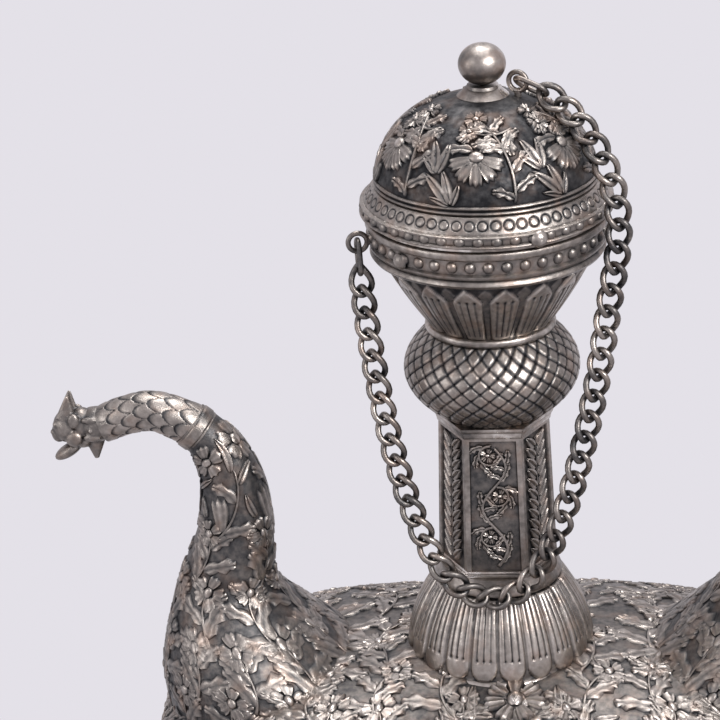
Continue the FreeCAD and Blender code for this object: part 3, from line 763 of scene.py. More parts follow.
# %% Laying leaves, stems and sprays
PATH_STEPS = 16
SPRAY_LEAVES = (2, 5, 8, 11, 13)
LEAF_SPREAD = 0.60
STEM_WORN = 0.58
STEM_EDGE_WORN = 0.05
STEM_TAPER = 0.45


def lay(bm, shape, spot, at, turn, length, width, relief, bend=0.0):
    """Lay a flat shape on a surface: spot(across, up) gives a point and the way out."""
    motif = shape.copy()
    for vert in motif.vertices:
        sway = bend * vert.co.x
        chord = math.sin(sway / 2) / (sway / 2) if abs(sway) > 1e-4 else 1.0
        ahead = length * vert.co.x * chord
        beside = width * vert.co.y
        x = at[0] + ahead * math.cos(turn + sway / 2) - beside * math.sin(turn + sway)
        y = at[1] + ahead * math.sin(turn + sway / 2) + beside * math.cos(turn + sway)
        point, out = spot(x, y)
        vert.co = (point + out * vert.co.z * relief) * MM
    bm.from_mesh(motif)
    bpy.data.meshes.remove(motif)


def lay_stem(bm, spot, path, thickness, relief):
    """A raised stem along a list of places on the surface, tapering to its end."""
    worn = bm.verts.layers.float["worn"]
    made = bmesh.ops.create_grid(bm, x_segments=len(path) - 1, y_segments=4, size=0.5)["verts"]
    last = len(path) - 1
    for vert in made:
        index = round((vert.co.x + 0.5) * last)
        across = vert.co.y * 2
        near, far = path[max(index - 1, 0)], path[min(index + 1, last)]
        length = math.dist(near, far)
        side = (-(far[1] - near[1]) / length, (far[0] - near[0]) / length)
        half = thickness / 2 * (1 - STEM_TAPER * index / last)
        rim = abs(across) > 0.99 or index in (0, last)
        height = EDGE_SINK if rim else relief * (1 - across ** 2) ** 0.5
        x, y = (path[index][k] + side[k] * across * half for k in range(2))
        point, out = spot(x, y)
        vert.co = (point + out * height) * MM
        vert[worn] = STEM_EDGE_WORN if rim else STEM_WORN


def flower(bm, spot, at, radius, petals, relief, turn=0.0):
    """Notched petals round a boss."""
    for index in range(petals):
        angle = turn + TURN * index / petals
        foot = (at[0] + 0.20 * radius * math.cos(angle), at[1] + 0.20 * radius * math.sin(angle))
        lay(bm, PETAL, spot, foot, angle, 0.82 * radius, 4.6 * radius / petals, relief)
    lay(bm, BOSS, spot, at, turn, 0.62 * radius, 0.62 * radius, relief * 1.2)


def curve_path(start, heading, length, curl):
    """Places and headings along a curve that turns by curl radians a millimetre."""
    path, angles = [start], [heading]
    stride = length / PATH_STEPS
    for _ in range(PATH_STEPS):
        angle = angles[-1] + curl * stride
        angles.append(angle)
        x, y = path[-1]
        path.append((x + math.cos(angle) * stride, y + math.sin(angle) * stride))
    return path, angles


def spray(bm, spot, heading, length, curl, leaf, relief, petals=5, start=(0.0, 0.0)):
    """A curving stem with feathered leaves on both sides and a flower at its tip."""
    path, angles = curve_path(start, heading, length, curl)
    lay_stem(bm, spot, path, leaf * 0.085 + 0.35, relief * 0.85)
    bend = LEAF_SPREAD
    for index in SPRAY_LEAVES:
        size = leaf * (1.06 - 0.03 * index)
        lay(bm, FEATHER, spot, path[index], angles[index] + bend, size, size * 0.60, relief, bend)
        bend = -bend
    flower(bm, spot, path[-1], leaf * 0.40, petals, relief * 1.1, angles[-1])


# %% [markdown]
# The oval body is beaten in two halves that meet at its widest line. Seen from above it is
# fuller than an ellipse. Scrolling sprays of leaves and flowers cover it, on a ground that
# was matted with a blunt punch.

# %% Oval body
EQUATOR = height_of("body_lower")[1]
BODY_HALF = Vector((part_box("body_lower")[1].x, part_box("body_lower")[1].y, 0)) / MM
BELLY_DEEP = 62.0
SHOULDER_HIGH = SHOULDER_TOP - EQUATOR
PLAN_FULLNESS = 3.0
BODY_WALL = 1.3
BODY_OUTSIDE = 0.8
GROUND_WORN = 0.36


def signed_power(value, power):
    """A power that keeps the value's sign."""
    return math.copysign(abs(value) ** power, value)


def plan_reach(x, y):
    """How far out a point is, with 1 on the body's outline seen from above."""
    far = (abs(x) / BODY_HALF.x) ** PLAN_FULLNESS + (abs(y) / BODY_HALF.y) ** PLAN_FULLNESS
    return far ** (1 / PLAN_FULLNESS)


def on_body(point):
    """Press a point onto the body and give the way out."""
    x, y, z = point.x, point.y, point.z - EQUATOR
    tall = SHOULDER_HIGH if z > 0 else BELLY_DEEP
    reach = plan_reach(x, y)
    scale = 1 / math.sqrt(reach ** 2 + (z / tall) ** 2)
    x, y, z = x * scale, y * scale, z * scale
    edge = max(reach * scale, 1e-4) ** (2 - PLAN_FULLNESS)
    slope_x = edge * signed_power(x / BODY_HALF.x, PLAN_FULLNESS - 1) / BODY_HALF.x
    slope_y = edge * signed_power(y / BODY_HALF.y, PLAN_FULLNESS - 1) / BODY_HALF.y
    out = Vector((slope_x, slope_y, z / tall ** 2)).normalized()
    return Vector((x, y, z + EQUATOR)), out


def surface_spot(press, guess, across):
    """A place on a curved piece: x runs across it and y up it."""
    middle, out = press(guess)
    across = (across - out * across.dot(out)).normalized()
    up = out.cross(across)

    def spot(x, y):
        return press(middle + across * x + up * y)

    return spot


def body_spot(angle, level):
    """A place on the body: an angle round it and a level from -1 at the foot to 1 at the top."""
    turn = math.radians(angle)
    round_off = math.sqrt(1 - level ** 2)
    tall = SHOULDER_HIGH if level > 0 else BELLY_DEEP
    x = BODY_HALF.x * math.cos(turn) * round_off
    y = BODY_HALF.y * math.sin(turn) * round_off
    guess = Vector((x, y, EQUATOR + tall * level))
    return surface_spot(on_body, guess, Vector((-math.sin(turn), math.cos(turn), 0)))


def body_sheet(bm, bottom, top, rows, columns):
    """The outside of the body between two levels, closed by a plain inside."""
    def place(along, around):
        share, inside = fold_back(along, BODY_OUTSIDE)
        level = math.sin(math.asin(bottom) + (math.asin(top) - math.asin(bottom)) * share)
        turn = TURN * around
        round_off = math.sqrt(max(0.0, 1 - level ** 2))
        tall = SHOULDER_HIGH if level > 0 else BELLY_DEEP
        x = signed_power(math.cos(turn), 2 / PLAN_FULLNESS) * BODY_HALF.x * round_off
        y = signed_power(math.sin(turn), 2 / PLAN_FULLNESS) * BODY_HALF.y * round_off
        point, out = on_body(Vector((x, y, EQUATOR + tall * level)))
        if inside:
            point = point - out * BODY_WALL
        return point * MM, GROUND_WORN

    bend_sheet(bm, rows, columns, place)
    close_outward(bm)


upper = sheet_start()
body_sheet(upper, bottom=0.0, top=0.985, rows=60, columns=200)
lower = sheet_start()
body_sheet(lower, bottom=-0.98, top=0.0, rows=60, columns=200)
print("body sheets", len(upper.faces), len(lower.faces))

# %% [markdown]
# On the shoulder the sprays stand in rows, each set over half a step, and fill the room that
# the bell and the horns leave. On the belly they run round in belts. A row's sprays lean one
# way and curl back, and the next row's lean the other way, so the scrolls seem to run on.
# A seed makes every small chance of lean and size fall the same way in each run.

# %% Sprays on the body
random.seed(7)
BODY_RELIEF = 0.9
ROW_STEP = 18.0
SPRAY_STEP = 22.0
FRONT_FLOWER = (5.2, -37.1)
# Each belt: level, number of sprays, length of stem, length of leaf, lean in degrees.
BELTS = [
    (0.32, 22, 20, 14.5, 38), (0.09, 24, 24, 11.5, 8), (-0.15, 24, 24, 12.5, 172),
    (-0.38, 24, 24, 16.0, 142), (-0.62, 21, 24, 15.5, 38), (-0.84, 17, 20, 13.0, 142)]
SPRAY_REACH = 0.88
SPRAY_STEM = 24
BELL_CLEAR_R = 33
FLOWER_CLEAR_R = 15
HORN_CLEAR_X = 84
HORN_CLEAR_HALF = (22, 25)


def clear_shoulder(point):
    """True where the shoulder shows: not under the bell, the foot of a horn or the front flower."""
    beside_bell = math.hypot(point.x, point.y) > BELL_CLEAR_R
    from_horn = (abs(point.x) - HORN_CLEAR_X) / HORN_CLEAR_HALF[0]
    beside_horn = math.hypot(from_horn, point.y / HORN_CLEAR_HALF[1]) > 1
    beside_flower = math.dist((point.x, point.y), FRONT_FLOWER) > FLOWER_CLEAR_R
    return beside_bell and beside_horn and beside_flower


def shoulder_spot(x, y):
    """A place on the shoulder, with its own x and y along those of the pot."""
    height = SHOULDER_HIGH * math.sqrt(1 - plan_reach(x, y) ** 2)
    return surface_spot(on_body, Vector((x, y, EQUATOR + height)), Vector((1, 0, 0)))


def shoulder_spray(bm, x, y, way):
    """A spray that passes through a place on the shoulder."""
    if plan_reach(x, y) < SPRAY_REACH and clear_shoulder(Vector((x, y, 0))):
        lean = math.radians(90 - way * 55 + random.uniform(-25, 25))
        curl = way * random.uniform(0.03, 0.06)
        path, angles = curve_path((0, 0), lean, -10, -curl)
        leaf = random.uniform(14, 17)
        petals = random.choice((5, 6))
        spray(bm, shoulder_spot(x, y), angles[-1], SPRAY_STEM, curl, leaf, BODY_RELIEF, petals, path[-1])


def spray_belt(bm, level, count, length, leaf, lean):
    """Sprays round the body at one level, all leaning the same way."""
    way = 1 if lean < 90 else -1
    for index in range(count):
        angle = 360 * (index + 0.5 * (way > 0)) / count - 90
        spot = body_spot(angle + random.uniform(-3, 3), level)
        turn = math.radians(lean + random.uniform(-10, 10))
        curl = way * random.uniform(0.03, 0.055) * abs(math.sin(turn))
        spray(bm, spot, turn, length, curl, leaf, BODY_RELIEF, random.choice((5, 6)))


# %% [markdown]
# A chaser leaves no bare ground. One large flower stands in front of the bell, leaves spread
# from the foot of each horn, and small leaves at chance places fill the ground that is left.

# %% Leaves between the sprays
HORN_LEAVES = 16
HORN_RING_X = 79
HORN_RING_HALF = (28, 31)
HORN_RING_REACH = 0.9
FILL_RELIEF = 0.75


def leaf_fill(bm, low, high, count, size):
    """Small leaves in the ground between the sprays, from a low to a high angle above the equator."""
    for _ in range(count):
        spot = body_spot(random.uniform(0, 360), math.sin(random.uniform(low, high)))
        if low < 0 or clear_shoulder(spot(0, 0)[0]):
            length = size * random.uniform(0.7, 1.2)
            turn = random.uniform(0, TURN)
            shape = random.choice((LEAF, FEATHER))
            bend = random.uniform(-0.8, 0.8)
            lay(bm, shape, spot, (0, 0), turn, length, size * 0.5, FILL_RELIEF, bend)


def leaves_round_horn(bm, side):
    """Leaves that spread over the shoulder from the foot of a horn and soften its joint."""
    for index in range(HORN_LEAVES):
        turn = TURN * (index + 0.5) / HORN_LEAVES + random.uniform(-0.1, 0.1)
        x = side * HORN_RING_X + HORN_RING_HALF[0] * math.cos(turn)
        y = HORN_RING_HALF[1] * math.sin(turn)
        if plan_reach(x, y) < HORN_RING_REACH:
            heading = turn + random.uniform(-0.3, 0.3)
            bend = random.uniform(-0.5, 0.5)
            lay(bm, FEATHER, shoulder_spot(x, y), (0, 0), heading, 15, 8.5, 1.0, bend)


def front_flower(bm):
    """The large flower under the bell, between two upright leaves."""
    spot = shoulder_spot(*FRONT_FLOWER)
    flower(bm, spot, (0, 0), 10.5, 7, 1.6, math.radians(90))
    for side in (-1, 1):
        lay(bm, LEAF, spot, (side * 13, -9), math.radians(90 - side * 8), 17, 5, 0.9, side * 0.3)
        lay(bm, FEATHER, spot, (side * 6, -7), math.radians(90 - side * 75), 13, 6, 0.9, -side * 0.5)


for row in range(-3, 4):
    for column in range(-5, 6):
        shift = 0.5 * (row % 2)
        shoulder_spray(upper, (column + shift) * SPRAY_STEP, row * ROW_STEP, 1 if row % 2 else -1)
front_flower(upper)
leaves_round_horn(upper, -1)
leaves_round_horn(upper, 1)
leaf_fill(upper, low=0.05, high=1.3, count=100, size=8.0)
for level, count, length, leaf, lean in BELTS:
    spray_belt(upper if level > 0 else lower, level, count, length, leaf, lean)
leaf_fill(lower, low=-1.2, high=-0.14, count=160, size=9.5)
finish_piece(upper, "chased_shoulder", "pot", ["body_upper"], CHASED)
finish_piece(lower, "chased_belly", "pot", ["body_lower"], CHASED)

# %% [markdown]
# The dome of the lid is a half ball, a little flat, that would be raised with a hammer from one
# round sheet. Here too it is one sheet, which goes up the outside, turns in under the finial
# and comes back down the inside.

# %% Lid dome
DOME_FOOT = height_of("lid_dome")[0]
DOME_R = 33.6
DOME_HIGH = 27.2
DOME_OUTSIDE = 0.75
DOME_REACH = 0.97
DOME_WORN = 0.24


def on_dome(point):
    """Press a point onto the dome and give the way out."""
    x, y, z = point.x, point.y, point.z - DOME_FOOT
    scale = 1 / math.sqrt((x * x + y * y) / DOME_R ** 2 + (z / DOME_HIGH) ** 2)
    x, y, z = x * scale, y * scale, z * scale
    out = Vector((x / DOME_R ** 2, y / DOME_R ** 2, z / DOME_HIGH ** 2)).normalized()
    return Vector((x, y, z + DOME_FOOT)), out


def dome_spot(angle, level):
    """A place on the dome: an angle round it and a level from 0 at its foot to 1 at its top."""
    turn = math.radians(angle)
    reach = math.sqrt(1 - level ** 2) * DOME_R
    guess = Vector((math.cos(turn) * reach, math.sin(turn) * reach, DOME_FOOT + level * DOME_HIGH))
    return surface_spot(on_dome, guess, Vector((-math.sin(turn), math.cos(turn), 0)))


def dome_place(along, around):
    """The dome's sheet, up the outside and back down the inside."""
    share, inside = fold_back(along, DOME_OUTSIDE)
    level = math.sin(share * math.pi / 2 * DOME_REACH)
    turn = TURN * around
    reach = math.sqrt(1 - level ** 2) * DOME_R
    guess = Vector((math.cos(turn) * reach, math.sin(turn) * reach, DOME_FOOT + level * DOME_HIGH))
    point, out = on_dome(guess)
    if inside:
        point = point - out * SHEET_WALL
    return point * MM, DOME_WORN


dome = sheet_start()
bend_sheet(dome, 48, 144, dome_place)
close_outward(dome)
print("dome sheet", len(dome.faces))

# %% [markdown]
# Daisies with drooping petals stand round the dome, each beside a leafy stem that bends over it
# and tufts of narrow leaves. Two plain wires run round its foot. The motifs are those of the
# body, laid on the dome in the same way.

# %% Relief on the dome
DOME_RELIEF = 0.95
DAISIES = 6
DAISY_START = -93
DAISY_LEVEL = 0.50
# Each foot wire: height and radius of its middle.
FOOT_WIRES = [(0.7, 33.6), (2.2, 33.5)]
FOOT_WIRE_HALF = (0.7, 0.6)
FOOT_WIRE_SIDES = 8


def daisy_flower(bm, spot):
    """Five drooping petals and two raised leaves round a boss."""
    for turn in (-165, -128, -90, -52, -15):
        lay(bm, PETAL, spot, (0, 2.5), math.radians(turn), 9.6, 5.2, 1.0)
    for side in (-1, 1):
        turn = math.radians(90 - side * 62)
        lay(bm, FEATHER, spot, (side * 0.5, 4.5), turn, 10.0, 5.0, DOME_RELIEF, -side * 0.9)
    lay(bm, BOSS, spot, (0, 2.8), 0.0, 4.6, 4.6, 1.3)


def leafy_stem(bm, spot):
    """A stem beside the daisy that leans over it, with leaves on both sides and a flower."""
    path, angles = curve_path((13.0, -13.0), math.radians(92), 34, 0.022)
    lay_stem(bm, spot, path, 1.7, DOME_RELIEF)
    for step, turn, size in ((1, 0.75, 9.0), (2, -0.7, 11.0), (5, -0.6, 11.0), (9, -0.7, 10.5),
                             (12, -0.7, 9.5), (10, 0.8, 9.0), (13, 0.9, 11.0)):
        lay(bm, FEATHER, spot, path[step], angles[step] + turn, size, size * 0.55, DOME_RELIEF, turn)
    flower(bm, spot, path[-1], 4.4, 5, DOME_RELIEF)


def leaf_tuft(bm, spot, root, leaves, slim):
    """Narrow leaves that spread from one root: each has a turn in degrees and a length."""
    for turn, size in leaves:
        lay(bm, LEAF, spot, root, math.radians(turn), size, size * slim, DOME_RELIEF, 0.3)


for index in range(DAISIES):
    angle = 360 * index / DAISIES + DAISY_START
    daisy = dome_spot(angle, DAISY_LEVEL)
    daisy_flower(dome, daisy)
    leafy_stem(dome, daisy)
    leaf_tuft(dome, daisy, (-8.5, -13.0), ((150, 9.0), (118, 15.0), (90, 13.0), (58, 9.0)), 0.36)
    between = dome_spot(angle + 225 / DAISIES, 0.52)
    leaf_tuft(dome, between, (0, -4.0), ((128, 9.0), (100, 12.0), (72, 11.0)), 0.38)
    spray(dome, dome_spot(angle + 180 / DAISIES, 0.80), math.radians(215), 15, -0.10, 10.0, 0.9)
for height, radius in FOOT_WIRES:
    turns = [TURN * k / FOOT_WIRE_SIDES for k in range(FOOT_WIRE_SIDES)]
    wire = [(radius + FOOT_WIRE_HALF[0] * math.cos(turn), height + FOOT_WIRE_HALF[1] * math.sin(turn))
            for turn in turns]
    turn_line(dome, raised(wire, DOME_FOOT), 0.65)
finish_piece(dome, "chased_dome", "lid", ["lid_dome"], DARK_SILVER)

# %% [markdown]
# The finial is a plain ball on a small flared stem. The ball is a little flat, and both are
# left smooth, so their wear is all in the finish.

# %% Finial
STEM_FOOT, STEM_TOP = height_of("finial_stem")
BALL_FOOT = height_of("finial_ball")[0]
BALL_R = 7.2
BALL_FLAT = 0.88
STEM_LOWER = [(0.0, 0.0), (7.9, 0.0), (7.5, 0.4), (6.4, 1.2), (5.6, 2.2)]
STEM_UPPER = [(5.0, -0.9), (4.7, 0.0), (0.0, 0.0)]
stem = sheet_start()
turn_line(stem, raised(STEM_LOWER, STEM_FOOT) + raised(STEM_UPPER, STEM_TOP), 0.6)
close_outward(stem)
finish_piece(stem, "finial_cone", "lid", ["finial_stem"], PLAIN)
ball = sheet_start()
made = bmesh.ops.create_uvsphere(ball, u_segments=64, v_segments=40, radius=BALL_R * MM)["verts"]
bmesh.ops.scale(ball, vec=(1, 1, BALL_FLAT), verts=made)
bmesh.ops.translate(ball, vec=(0, 0, (BALL_FOOT + BALL_R * BALL_FLAT) * MM), verts=made)
finish_piece(ball, "finial_knob", "lid", ["finial_ball"], PLAIN)

# %% [markdown]
# The neck is a column with six flat sides. It starts as a six-sided cone; each side is inset
# so that a raised frame stands round a sunk panel. Three sides carry a scrolling vine and
# three a row of paired leaves, made of the same leaves as the body's.

# %% Six-sided column
COLUMN_TOP = height_of("neck_column")[1]
COLUMN_FOOT_R = 19.0
COLUMN_HEAD_R = 17.5
FLAT_SHARE = math.cos(math.pi / 6)
FRAME_WIDTH = 1.5
FRAME_BEVEL = 0.35
PANEL_SINK = 0.7
PANEL_FOOT = 3
VINE_SWING = 14
VINE_SWINGS = 3
VINE_REACH = 3.8
LEAF_ROWS = 12
LEAF_STEP = 3.5
LEAF_STEM = 42.5
LEAF_STEM_STEPS = 30


def six_sided(bm, foot_r, head_r, foot, head, level, caps=True):
    """A six-sided block with corners to the left and right."""
    worn = bm.verts.layers.float["worn"]
    made = bmesh.ops.create_cone(bm, cap_ends=caps, segments=6, radius1=foot_r * MM, radius2=head_r * MM,
                                 depth=(head - foot) * MM)["verts"]
    corner = max(made, key=lambda vert: vert.co.x).co
    turn = Matrix.Rotation(-math.atan2(corner.y, corner.x), 4, "Z")
    lift = Matrix.Translation((0, 0, (head + foot) / 2 * MM))
    bmesh.ops.transform(bm, matrix=lift @ turn, verts=made)
    for vert in made:
        vert[worn] = level
    return made


def panel_spot(angle, height):
    """A place on a column side: x across it, y up it."""
    turn = math.radians(angle)
    lean = (COLUMN_FOOT_R - COLUMN_HEAD_R) * FLAT_SHARE / (COLUMN_TOP - COLUMN_FOOT)
    flat_r = COLUMN_FOOT_R * FLAT_SHARE - lean * (height - COLUMN_FOOT) - PANEL_SINK
    level = Vector((math.cos(turn), math.sin(turn), 0))
    across = Vector((-math.sin(turn), math.cos(turn), 0))
    middle = level * flat_r + Vector((0, 0, height))
    up = (Vector((0, 0, 1)) - level * lean).normalized()
    out = (level + Vector((0, 0, lean))).normalized()

    def spot(x, y):
        return middle + across * x + up * y, out

    return spot


def vine_panel(bm, angle):
    """A vine that swings from side to side, with a scroll round a flower in each hollow."""
    spot = panel_spot(angle, COLUMN_FOOT + PANEL_FOOT)
    steps = range(VINE_SWINGS * VINE_SWING + 1)
    path = [(VINE_REACH * math.sin(math.pi * k / VINE_SWING), k) for k in steps]
    lay_stem(bm, spot, path, 1.8, 0.8)
    for swing_index in range(VINE_SWINGS):
        side = 1 if swing_index % 2 == 0 else -1
        first = VINE_SWING * swing_index
        root = path[first + VINE_SWING]
        scroll, angles = curve_path(root, math.radians(90 + side * 60), 15, side * 0.31)
        lay_stem(bm, spot, scroll, 1.5, 0.8)
        flower(bm, spot, (root[0] - side * 1.7, root[1] - 2.9), 2.6, 5, 0.8)
        for step, turn in ((3, -0.4), (6, -0.3), (9, -0.3), (13, 0.4)):
            lay(bm, FEATHER, spot, scroll[step], angles[step] + side * turn, 5.4, 3.2, 0.85, side * 0.9)
        for step, turn in ((2, -52), (4, -40), (8, -28), (3, 55), (6, 60)):
            heading = math.radians(90 + side * turn)
            lay(bm, FEATHER, spot, path[first + step], heading, 5.0, 3.0, 0.85, side * 0.7)


def leaf_panel(bm, angle):
    """Close pairs of leaves up a straight stem."""
    spot = panel_spot(angle, COLUMN_FOOT + PANEL_FOOT)
    stem_line = [(0, LEAF_STEM * k / LEAF_STEM_STEPS) for k in range(LEAF_STEM_STEPS + 1)]
    lay_stem(bm, spot, stem_line, 0.9, 0.7)
    for row in range(LEAF_ROWS):
        for side in (-1, 1):
            heading = math.radians(90 - side * 46)
            lay(bm, LEAF, spot, (side * 0.3, LEAF_STEP * row), heading, 7.5 - 0.05 * row, 4.2, 0.95)


column = sheet_start()
six_sided(column, COLUMN_FOOT_R, COLUMN_HEAD_R, COLUMN_FOOT, COLUMN_TOP, 0.62, caps=False)
sides = column.faces[:]
for width, sink in ((FRAME_WIDTH, 0), (FRAME_BEVEL, PANEL_SINK)):
    bmesh.ops.inset_individual(column, faces=sides, thickness=width * MM, depth=-sink * MM,
                               use_even_offset=True)
worn = column.verts.layers.float["worn"]
for side in sides:
    for vert in side.verts:
        vert[worn] = GROUND_WORN
close_outward(column)
for angle in (-90, 30, 150):
    vine_panel(column, angle)
for angle in (-30, 90, 210):
    leaf_panel(column, angle)
finish_piece(column, "panelled_column", "pot", ["neck_column"], CHASED, 30)

# %% [markdown]
# Two plain mouldings close the column, one under its foot and one under the knop. Each is a
# stack of six-sided blocks with their edges softened, as filing leaves them.

# %% Mouldings of the column
KNOP_SEAT = height_of("neck_cornice")[1]
SOFT_EDGE = 0.35


def moulding(name, nodes, blocks):
    """Six-sided blocks with softened edges."""
    bm = sheet_start()
    for foot_r, head_r, foot, head in blocks:
        made = six_sided(bm, foot_r, head_r, foot, head, 0.6)
        edges = {edge for vert in made for edge in vert.link_edges}
        bmesh.ops.bevel(bm, geom=list(edges), offset=SOFT_EDGE * MM, affect="EDGES", segments=2,
                        profile=0.5, material=-1)
    finish_piece(bm, name, "pot", nodes, PLAIN, 40)


moulding("column_cornice", ["neck_cornice"], [
    (17.9, 18.4, COLUMN_TOP - 0.6, COLUMN_TOP + 1.6),
    (18.6, 19.2, COLUMN_TOP + 1.5, KNOP_SEAT)])
moulding("column_plinth", ["neck_plinth"], [
    (19.9, 19.9, COLUMN_FOOT, COLUMN_FOOT + 1.2),
    (19.6, 19.2, COLUMN_FOOT + 1.1, COLUMN_FOOT + 2.0)])

# %% [markdown]
# The spout and the handle both grow out of the body as horns. A horn follows the same
# sections as its solid: how far out and up it is, its lean in degrees, and its half width and
# half depth. Lengths are shares of one module. The neck and the tail go on from the horns.

# %% Sections of the horns
HORN_X = 84.2
HORN_MODULE = 100.0
HORN_SECTIONS = [
    (-0.100, 0.010, 0, 0.350, 0.380), (-0.065, 0.200, 0, 0.335, 0.360), (-0.012, 0.320, 0, 0.268, 0.304),
    (0.011, 0.380, 0, 0.229, 0.252), (0.030, 0.435, 0, 0.195, 0.205), (0.040, 0.485, 0, 0.170, 0.172),
    (0.036, 0.545, -6, 0.149, 0.149), (0.004, 0.700, -4, 0.121, 0.121), (0.005, 0.850, 10, 0.101, 0.101),
    (0.038, 0.960, 30, 0.085, 0.085), (0.089, 1.032, 50, 0.073, 0.073)]
NECK_SECTIONS = [
    (0.127, 1.064, 50, 0.0685, 0.0685), (0.238, 1.108, 90, 0.064, 0.064), (0.330, 1.096, 102, 0.061, 0.061),
    (0.407, 1.066, 110, 0.060, 0.060)]
TAIL_SECTIONS = [
    (0.127, 1.064, 50, 0.0685, 0.0685), (0.245, 1.100, 90, 0.065, 0.065), (0.410, 1.040, 122, 0.065, 0.065),
    (0.500, 0.880, 163, 0.064, 0.064), (0.496, 0.670, 190, 0.060, 0.060), (0.435, 0.480, 206, 0.054, 0.054),
    (0.330, 0.315, 220, 0.046, 0.046), (0.220, 0.195, 232, 0.042, 0.042)]
print("sections of a horn", len(HORN_SECTIONS))

# %% [markdown]
# A horn is hammered from a sheet that is rolled and closed along a seam. Here the sheet is bent
# round a smooth curve through the sections, and its far end folds back to make the inside.

# %% Horns
TUBE_OUTSIDE = 0.9
TUBE_STEPS = 20
TUBE_INSIDE_WORN = 0.2


def smooth_between(table, place):
    """A row between the rows of a table, on a smooth curve through them."""
    place = max(0.0, min(place, len(table) - 1.000001))
    index = int(place)
    t = place - index
    rows = [table[min(max(index + step, 0), len(table) - 1)] for step in (-1, 0, 1, 2)]
    result = []
    for a, b, c, d in zip(*rows):
        result.append(b + 0.5 * t * (c - a + t * (2 * a - 5 * b + 4 * c - d + t * (3 * (b - c) + d - a))))
    return result


class Tube:
    """A curved tapering tube in the plane of the spout, mirrored to +X for the handle."""

    def __init__(self, table, side):
        self.table = table
        self.side = side
        self.lengths = [0.0]
        points = [self.middle(k / TUBE_STEPS) for k in range(TUBE_STEPS * (len(table) - 1) + 1)]
        for near, far in zip(points, points[1:]):
            self.lengths.append(self.lengths[-1] + (far - near).length)

    def centre(self, out, rise):
        """A place in the plane of the spout, from shares of the module."""
        return Vector((self.side * (HORN_X + out * HORN_MODULE), 0, EQUATOR + rise * HORN_MODULE))

    def middle(self, place):
        """The middle of the tube at a place between the rows of its table."""
        return self.centre(*smooth_between(self.table, place)[:2])

    def length(self):
        """The whole length of the middle line."""
        return self.lengths[-1]

    def place_at(self, distance):
        """The table place at a distance along the middle line."""
        distance = max(0.0, min(distance, self.length() - 1e-6))
        low = 0
        while self.lengths[low + 1] < distance:
            low += 1
        near, far = self.lengths[low], self.lengths[low + 1]
        return (low + (distance - near) / (far - near)) / TUBE_STEPS

    def point(self, distance, angle, proud=0.0):
        """A point of the wall, with angle 0 on the inner side and 90 degrees at the back."""
        out, rise, lean, width, depth = smooth_between(self.table, self.place_at(distance))
        tilt = math.radians(lean)
        across = Vector((-self.side * math.cos(tilt), 0, math.sin(tilt)))
        wide = width * HORN_MODULE + proud
        deep = depth * HORN_MODULE + proud
        across_part = across * wide * math.cos(angle)
        return self.centre(out, rise) + across_part + Vector((0, deep * math.sin(angle), 0))

    def spot(self, distance, angle):
        """A place on the wall: x runs round it and y runs along it."""
        def spot(x, y):
            radius = (self.point(distance + y, 0) - self.point(distance + y, math.pi)).length / 2
            turn = math.radians(angle) + x / radius
            point = self.point(distance + y, turn)
            return point, (self.point(distance + y, turn, 1.0) - point).normalized()

        return spot

    def sheet(self, bm, start, end, rows, columns, pattern, thick=1.2):
        """The wall between two distances, chased by pattern, and closed by its inside."""
        def place(along, around):
            share, inside = fold_back(along, TUBE_OUTSIDE)
            distance = start + (end - start) * share
            angle = TURN * around
            if inside:
                return self.point(distance, angle, -thick) * MM, TUBE_INSIDE_WORN
            lift, worn = pattern(distance, angle)
            return self.point(distance, angle, lift) * MM, worn

        bend_sheet(bm, rows, columns, place)
        close_outward(bm)


SPOUT_HORN = Tube(HORN_SECTIONS, -1)
HANDLE_HORN = Tube(HORN_SECTIONS, 1)
print("horn length", round(SPOUT_HORN.length(), 1))

# %% [markdown]
# The horns were chased with the body, so the same sprays climb them in rings. Above these,
# where the horn is narrow, a tulip on a curling stem and one open flower are repeated round it.

# %% Relief on the horns
# Each row: distance up the horn, number of sprays, length of stem, length of leaf.
HORN_ROWS = [(4, 11, 20, 14.5), (19, 10, 20, 14.5), (35, 7, 20, 14.0), (54, 4, 20, 13.0)]
HORN_START = 2.0
HORN_RELIEF = 0.75
TULIPS = 4
TULIP_START = -110
TULIP_AT = 70
TULIP_RELIEF = 0.8
TIP_FLOWER_BACK = 7
TIP_RELIEF = 0.7


def plain_ground(distance, angle):
    """No pattern of its own, because the sprays are laid on it."""
    return 0.0, GROUND_WORN


def tulip(bm, spot):
    """A petal on a curling stem, with leaves along it."""
    path, angles = curve_path((-4, -2), math.radians(40), 30, 0.03)
    lay_stem(bm, spot, path, 1.5, HORN_RELIEF)
    lay(bm, PETAL, spot, (1, 3), math.radians(95), 15, 7, TULIP_RELIEF)
    lay(bm, FEATHER, spot, path[4], angles[4] - 0.5, 12, 6.5, TULIP_RELIEF, -0.6)
    lay(bm, FEATHER, spot, path[10], angles[10] + 0.7, 11, 6.0, TULIP_RELIEF, 0.8)
    lay(bm, LEAF, spot, path[13], angles[13] - 0.6, 9, 3.4, TULIP_RELIEF, -0.5)
    lay(bm, LEAF, spot, (-5, 8), math.radians(120), 9, 3.4, TULIP_RELIEF, -0.6)


def tip_flower(bm, spot):
    """An open flower with a leaf beside it."""
    flower(bm, spot, (0, 0), 6.2, 5, TIP_RELIEF)
    lay(bm, LEAF, spot, (6, -7), math.radians(75), 12, 3.6, TIP_RELIEF, 0.4)


